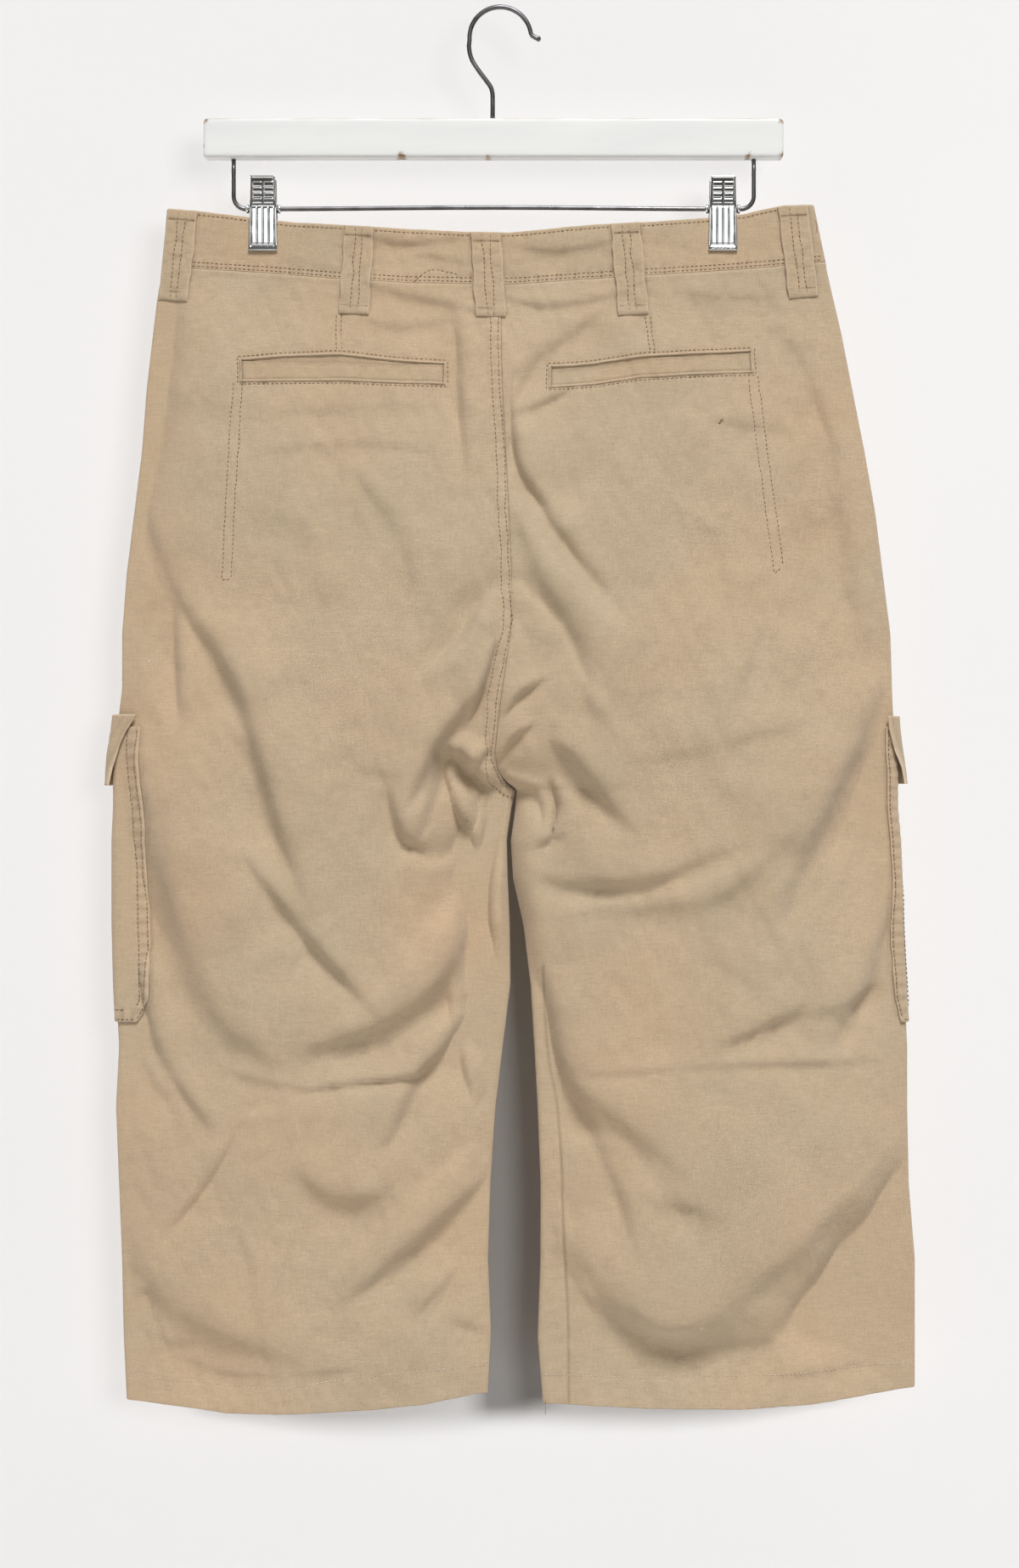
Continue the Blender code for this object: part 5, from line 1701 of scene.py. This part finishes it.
def bar_points():
    """Rings of points along the bar, which closes in at its rounded ends."""
    half_deep, half_tall = BAR_DEEP / 2, (BAR_TOP - BAR_BOTTOM) / 2
    half_long = (BAR_RIGHT - BAR_LEFT) / 2
    section = bar_section(half_deep, half_tall)
    turn = np.linspace(0.0, math.pi / 2, 6)
    end = BAR_ROUND * (1 - np.cos(turn))
    inset = BAR_ROUND * (1.0 - np.sin(turn))
    x = np.concatenate([
        -half_long + end, np.linspace(-half_long + 4, half_long - 4, 240), (half_long - end)[::-1],
    ])
    rings = []
    for at, less in zip(x, np.concatenate([inset, np.zeros(240), inset[::-1]])):
        size = np.array([(half_deep - less) / half_deep, (half_tall - less) / half_tall])
        rings.append([(at, y, z) for y, z in section * size])
    return np.array(rings) + np.array([(BAR_LEFT + BAR_RIGHT) / 2, 0.0, BAR_MIDDLE])


def knocked(points, marks, chip):
    """The bar's points pressed in round one knock, where the paint is off."""
    chip_x, chip_z, reach, depth = chip
    away = np.hypot(points[..., 0] - chip_x, points[..., 2] - chip_z)
    ragged = 1.0 + 0.25 * np.sin(points[..., 0] * 3.1) + 0.2 * np.cos(points[..., 1] * 1.7)
    hit = np.clip(1.3 - away / (reach * ragged), 0.0, 1.0)
    inward = np.array([0.0, 0.0, BAR_MIDDLE]) - points
    inward[..., 0] = 0.0
    inward /= np.linalg.norm(inward, axis=-1)[..., None]
    return points + inward * (depth * hit)[..., None], marks - np.clip(hit * 2.2, 0.0, 1.0)


def bar():
    """A rounded wooden bar with painted shade along its top edge and small knocks in its paint."""
    points = bar_points()
    top_shade_strength = 0.8 + 0.3 * np.sin(points[..., 0] / 11.0) + 0.2 * np.sin(points[..., 0] / 4.3)
    # Painted shade: the tone darkens the top edge towards the wood's colour, unevenly along the bar
    marks = -0.3 * smooth((points[..., 2] - BAR_TOP + 1.9) / 1.2) * top_shade_strength
    for chip in CHIPS:
        points, marks = knocked(points, marks, chip)
    index = numbered(points)
    faces = [wrap_faces(index)[:, [1, 2, 3, 0]], index[0][None], index[-1][None, ::-1]]
    marks = np.clip(marks, -1.0, 0.0)
    made = add_mesh("hanger_bar_wood", points.reshape(-1, 3), faces, paint, marks)
    stood_for(made, "hanger_bar")


JAW_GRID = ((150, 75), (80, 46))
BUMP_COLUMNS = (-3.7, 3.7)
BUMP_DOWN = 5.4
BUMP_PITCH = 3.5
FLUTES = (-5.7, -1.9, 1.9, 5.7)
FLUTE_DOWN = 19.4
FLUTE_UP = 3.6


def jaw(word, centre, face):
    """A pressed plate: a raised rim, two columns of flat bumps above and four flutes below."""
    top, foot = JAW_LINE[0, 0], JAW_LINE[-1, 0]
    rows, columns = JAW_GRID[face]
    z = np.linspace(top, foot, rows)[:, None]
    across = np.linspace(-0.5, 0.5, columns)[None]
    table = JAW_LINE[::-1]
    gap = np.interp(z, table[:, 0], table[:, 1])
    width = np.interp(z, table[:, 0], table[:, 2])
    x = across * width
    edge = np.minimum(width / 2 - np.abs(x), np.minimum(top - z, z - foot))
    rim = smooth((1.5 - edge) / 0.5)
    bumps = np.zeros(x.shape)
    for row in range(4):
        for place in BUMP_COLUMNS:
            aside = np.abs(x - place)
            above = np.abs(z - (top - BUMP_DOWN - BUMP_PITCH * row))
            bumps = np.maximum(bumps, smooth((3.2 - aside) / 0.5) * smooth((1.55 - above) / 0.45))
    flutes = np.zeros(x.shape)
    for place in FLUTES:
        tall = smooth((top - FLUTE_DOWN - z) / 1.4) * smooth((z - foot - FLUTE_UP) / 1.4)
        aside = np.abs(x - place)
        flutes = np.maximum(flutes, smooth((1.85 - aside) / 0.55) * (1.0 - 0.02 * aside**2) * tall)
    lip = smooth((3.2 - (z - foot)) / 0.6)
    height = JAW_METAL - 0.35 + 0.4 * rim + 0.8 * bumps + 0.8 * flutes + 0.35 * lip * (1 - rim)
    height = height - edge_curl(edge, 0.5)
    outside = np.stack([centre + x, OUTWARD[face] * (gap + height), z + 0 * x], axis=-1)
    inside = np.stack([centre + x, OUTWARD[face] * gap + 0 * x, z + 0 * x], axis=-1)
    name = f"clip_{word}_{FACE_WORDS[face]}"
    stood_for(shell(name + "_plate", outside, inside, plate_chrome), name)


def sleeve(word, centre):
    """The clip's hinge tube on the rail, with a collar at each end."""
    half = SLEEVE_LENGTH / 2
    profile = [(-half + along, radius) for along, radius in SLEEVE_COLLAR]
    profile += [(half - along, radius) for along, radius in SLEEVE_COLLAR[::-1]]
    turns = np.linspace(0.0, 2 * math.pi, 28, endpoint=False)
    points = np.array([[(centre + a, r * math.cos(t), RAIL_Z + r * math.sin(t)) for t in turns]
                       for a, r in profile])
    index = numbered(points)
    quads = wrap_faces(np.concatenate([index, index[:1]]))[:, ::-1]
    made = add_mesh(f"clip_{word}_sleeve_tube", points.reshape(-1, 3), [quads], chrome)
    stood_for(made, f"clip_{word}_sleeve")


hook()
rail()
bar()
for word, centre in zip(SIDES.values(), CLIP_X):
    for face in FACES:
        jaw(word, centre, face)
    sleeve(word, centre)


# ---------------------------------------------------------------- stage, light and camera
def plain_look(name, colour, see_through_back=False):
    """Plain matt paint. The wall isn't seen from behind, so it doesn't hide the object there."""
    look, tree, shader, place = new_look(name)
    darker = tuple(c * 0.985 for c in colour)
    shade = ramp(tree, noise(tree, place, 3.0, 3.0), 0.3, 0.7, (darker, colour))
    set_inputs(tree, shader, {"Base Color": shade, "Roughness": 0.85})
    if see_through_back:
        clear = add_node(tree, "BsdfTransparent")
        behind = add_node(tree, "NewGeometry").outputs["Backfacing"]
        chosen = add_node(tree, "MixShader", {0: behind, 1: shader.outputs[0], 2: clear.outputs[0]})
        tree.links.new(chosen.outputs[0], tree.nodes["Material Output"].inputs["Surface"])
    return look


def stage_plane(name, corners, look):
    mesh = bpy.data.meshes.new(name)
    mesh.from_pydata(corners, [], [(0, 1, 2, 3)])
    mesh.materials.append(look)
    made = bpy.data.objects.new(name, mesh)
    bpy.context.scene.collection.objects.link(made)
    return made


# The stage, in metres
STAGE_X = 3
WALL_Y = cad_high.y + 0.014
WALL_TOP = 1.6
FLOOR_Z = -1.6
FLOOR_Y = (-2.2, 4)
wall_corners = [(-STAGE_X, WALL_Y, FLOOR_Z), (STAGE_X, WALL_Y, FLOOR_Z),
                (STAGE_X, WALL_Y, WALL_TOP), (-STAGE_X, WALL_Y, WALL_TOP)]
floor_corners = [(-STAGE_X, FLOOR_Y[0], FLOOR_Z), (STAGE_X, FLOOR_Y[0], FLOOR_Z),
                 (STAGE_X, FLOOR_Y[1], FLOOR_Z), (-STAGE_X, FLOOR_Y[1], FLOOR_Z)]
wall = stage_plane("wall", wall_corners, plain_look("wall_paint", (0.30, 0.295, 0.294), True))
stage_plane("floor", floor_corners, plain_look("floor_paint", (0.80, 0.79, 0.78)))


MIDDLE = (0.0, 0.0, -0.52)
WHITE = (1.0, 1.0, 1.0)


def area_light(name, place, size, power, colour):
    """A square or oblong lamp aimed at the middle of the shorts."""
    data = bpy.data.lights.new(name, "AREA")
    data.shape = "RECTANGLE"
    data.size, data.size_y = size
    data.energy = power
    data.color = colour
    made = bpy.data.objects.new(name, data)
    made.location = place
    made.rotation_euler = (Vector(MIDDLE) - Vector(place)).to_track_quat("-Z", "Y").to_euler()
    bpy.context.scene.collection.objects.link(made)
    return made


# name, place, width and height, power, colour
LIGHTS = (
    ("key", (0.9, -4.2, 5.2), (2.0, 2.0), 478.0, (1.0, 0.993, 0.985)),
    ("fill", (-2.4, -4.2, -1.6), (3.0, 3.0), 24.0, (1.0, 0.92, 0.82)),
    ("panel", (0.0, -5.0, 1.25), (1.9, 1.7), 21.0, WHITE),
    ("wall_from_right", (4.4, -4.2, 0.7), (1.2, 1.2), 640.0, WHITE),
    ("wall_from_left", (-4.4, -4.2, 0.7), (1.2, 1.2), 590.0, WHITE),
    ("wall_from_front", (1.8, -4.4, 0.3), (1.6, 1.6), 95.0, WHITE),
    ("behind", (-1.6, 3.6, 0.6), (2.0, 2.0), 60.0, WHITE),
)
lights = {row[0]: area_light(*row) for row in LIGHTS}


def just_wall(state):
    """A collection that includes the wall alone, or all but the wall."""
    made = bpy.data.collections.new("wall_" + state.lower())
    made.objects.link(wall)
    made.collection_objects[0].light_linking.link_state = state
    return made


def just_leg(word):
    """A collection of one leg's panels."""
    made = bpy.data.collections.new("leg_" + word)
    for face_word in FACE_WORDS:
        made.objects.link(bpy.data.objects[f"{face_word}_{word}_cloth"])
    return made


# The wall has lights of its own, so that the key's shadows don't fall on it. Each of the two
# from the sides is held off by one leg, which leaves the gap between the legs dark. The light
# behind the wall reaches the hidden side of the shorts.
for name in ("key", "fill", "panel"):
    lights[name].light_linking.receiver_collection = just_wall("EXCLUDE")
for name in ("wall_from_right", "wall_from_left", "wall_from_front"):
    lights[name].light_linking.receiver_collection = just_wall("INCLUDE")
for word in SIDES.values():
    lights["wall_from_" + word].light_linking.blocker_collection = just_leg(word)
lights["behind"].light_linking.blocker_collection = just_wall("EXCLUDE")

world = bpy.data.worlds.new("studio")
world.use_nodes = True
tree = world.node_tree
direction = add_node(tree, "TexCoord").outputs["Generated"]
height = add_node(tree, "SeparateXYZ", {"Vector": direction}).outputs["Z"]
height = maths(tree, "ADD", maths(tree, "MULTIPLY", height, 0.5), 0.5)
sky = ramp(tree, height, 0.25, 0.7, ((0.48, 0.41, 0.34), (0.97, 0.95, 0.92)))
set_inputs(tree, tree.nodes["Background"], {"Color": sky, "Strength": 0.145})
bpy.context.scene.world = world
bpy.context.scene.view_settings.view_transform = "Standard"

# The camera, in metres and millimetres of lens
CAMERA_PLACE = (0.0061, -1.9, -0.5081)
CAMERA_LENS = 66.5
CAMERA_SENSOR = 36.0
camera_data = bpy.data.cameras.new("camera")
camera_data.lens = CAMERA_LENS
camera_data.sensor_width = CAMERA_SENSOR
camera = bpy.data.objects.new("camera", camera_data)
camera.location = CAMERA_PLACE
camera.rotation_euler = (math.pi / 2, 0.0, 0.0)
bpy.context.scene.collection.objects.link(camera)
bpy.context.scene.camera = camera
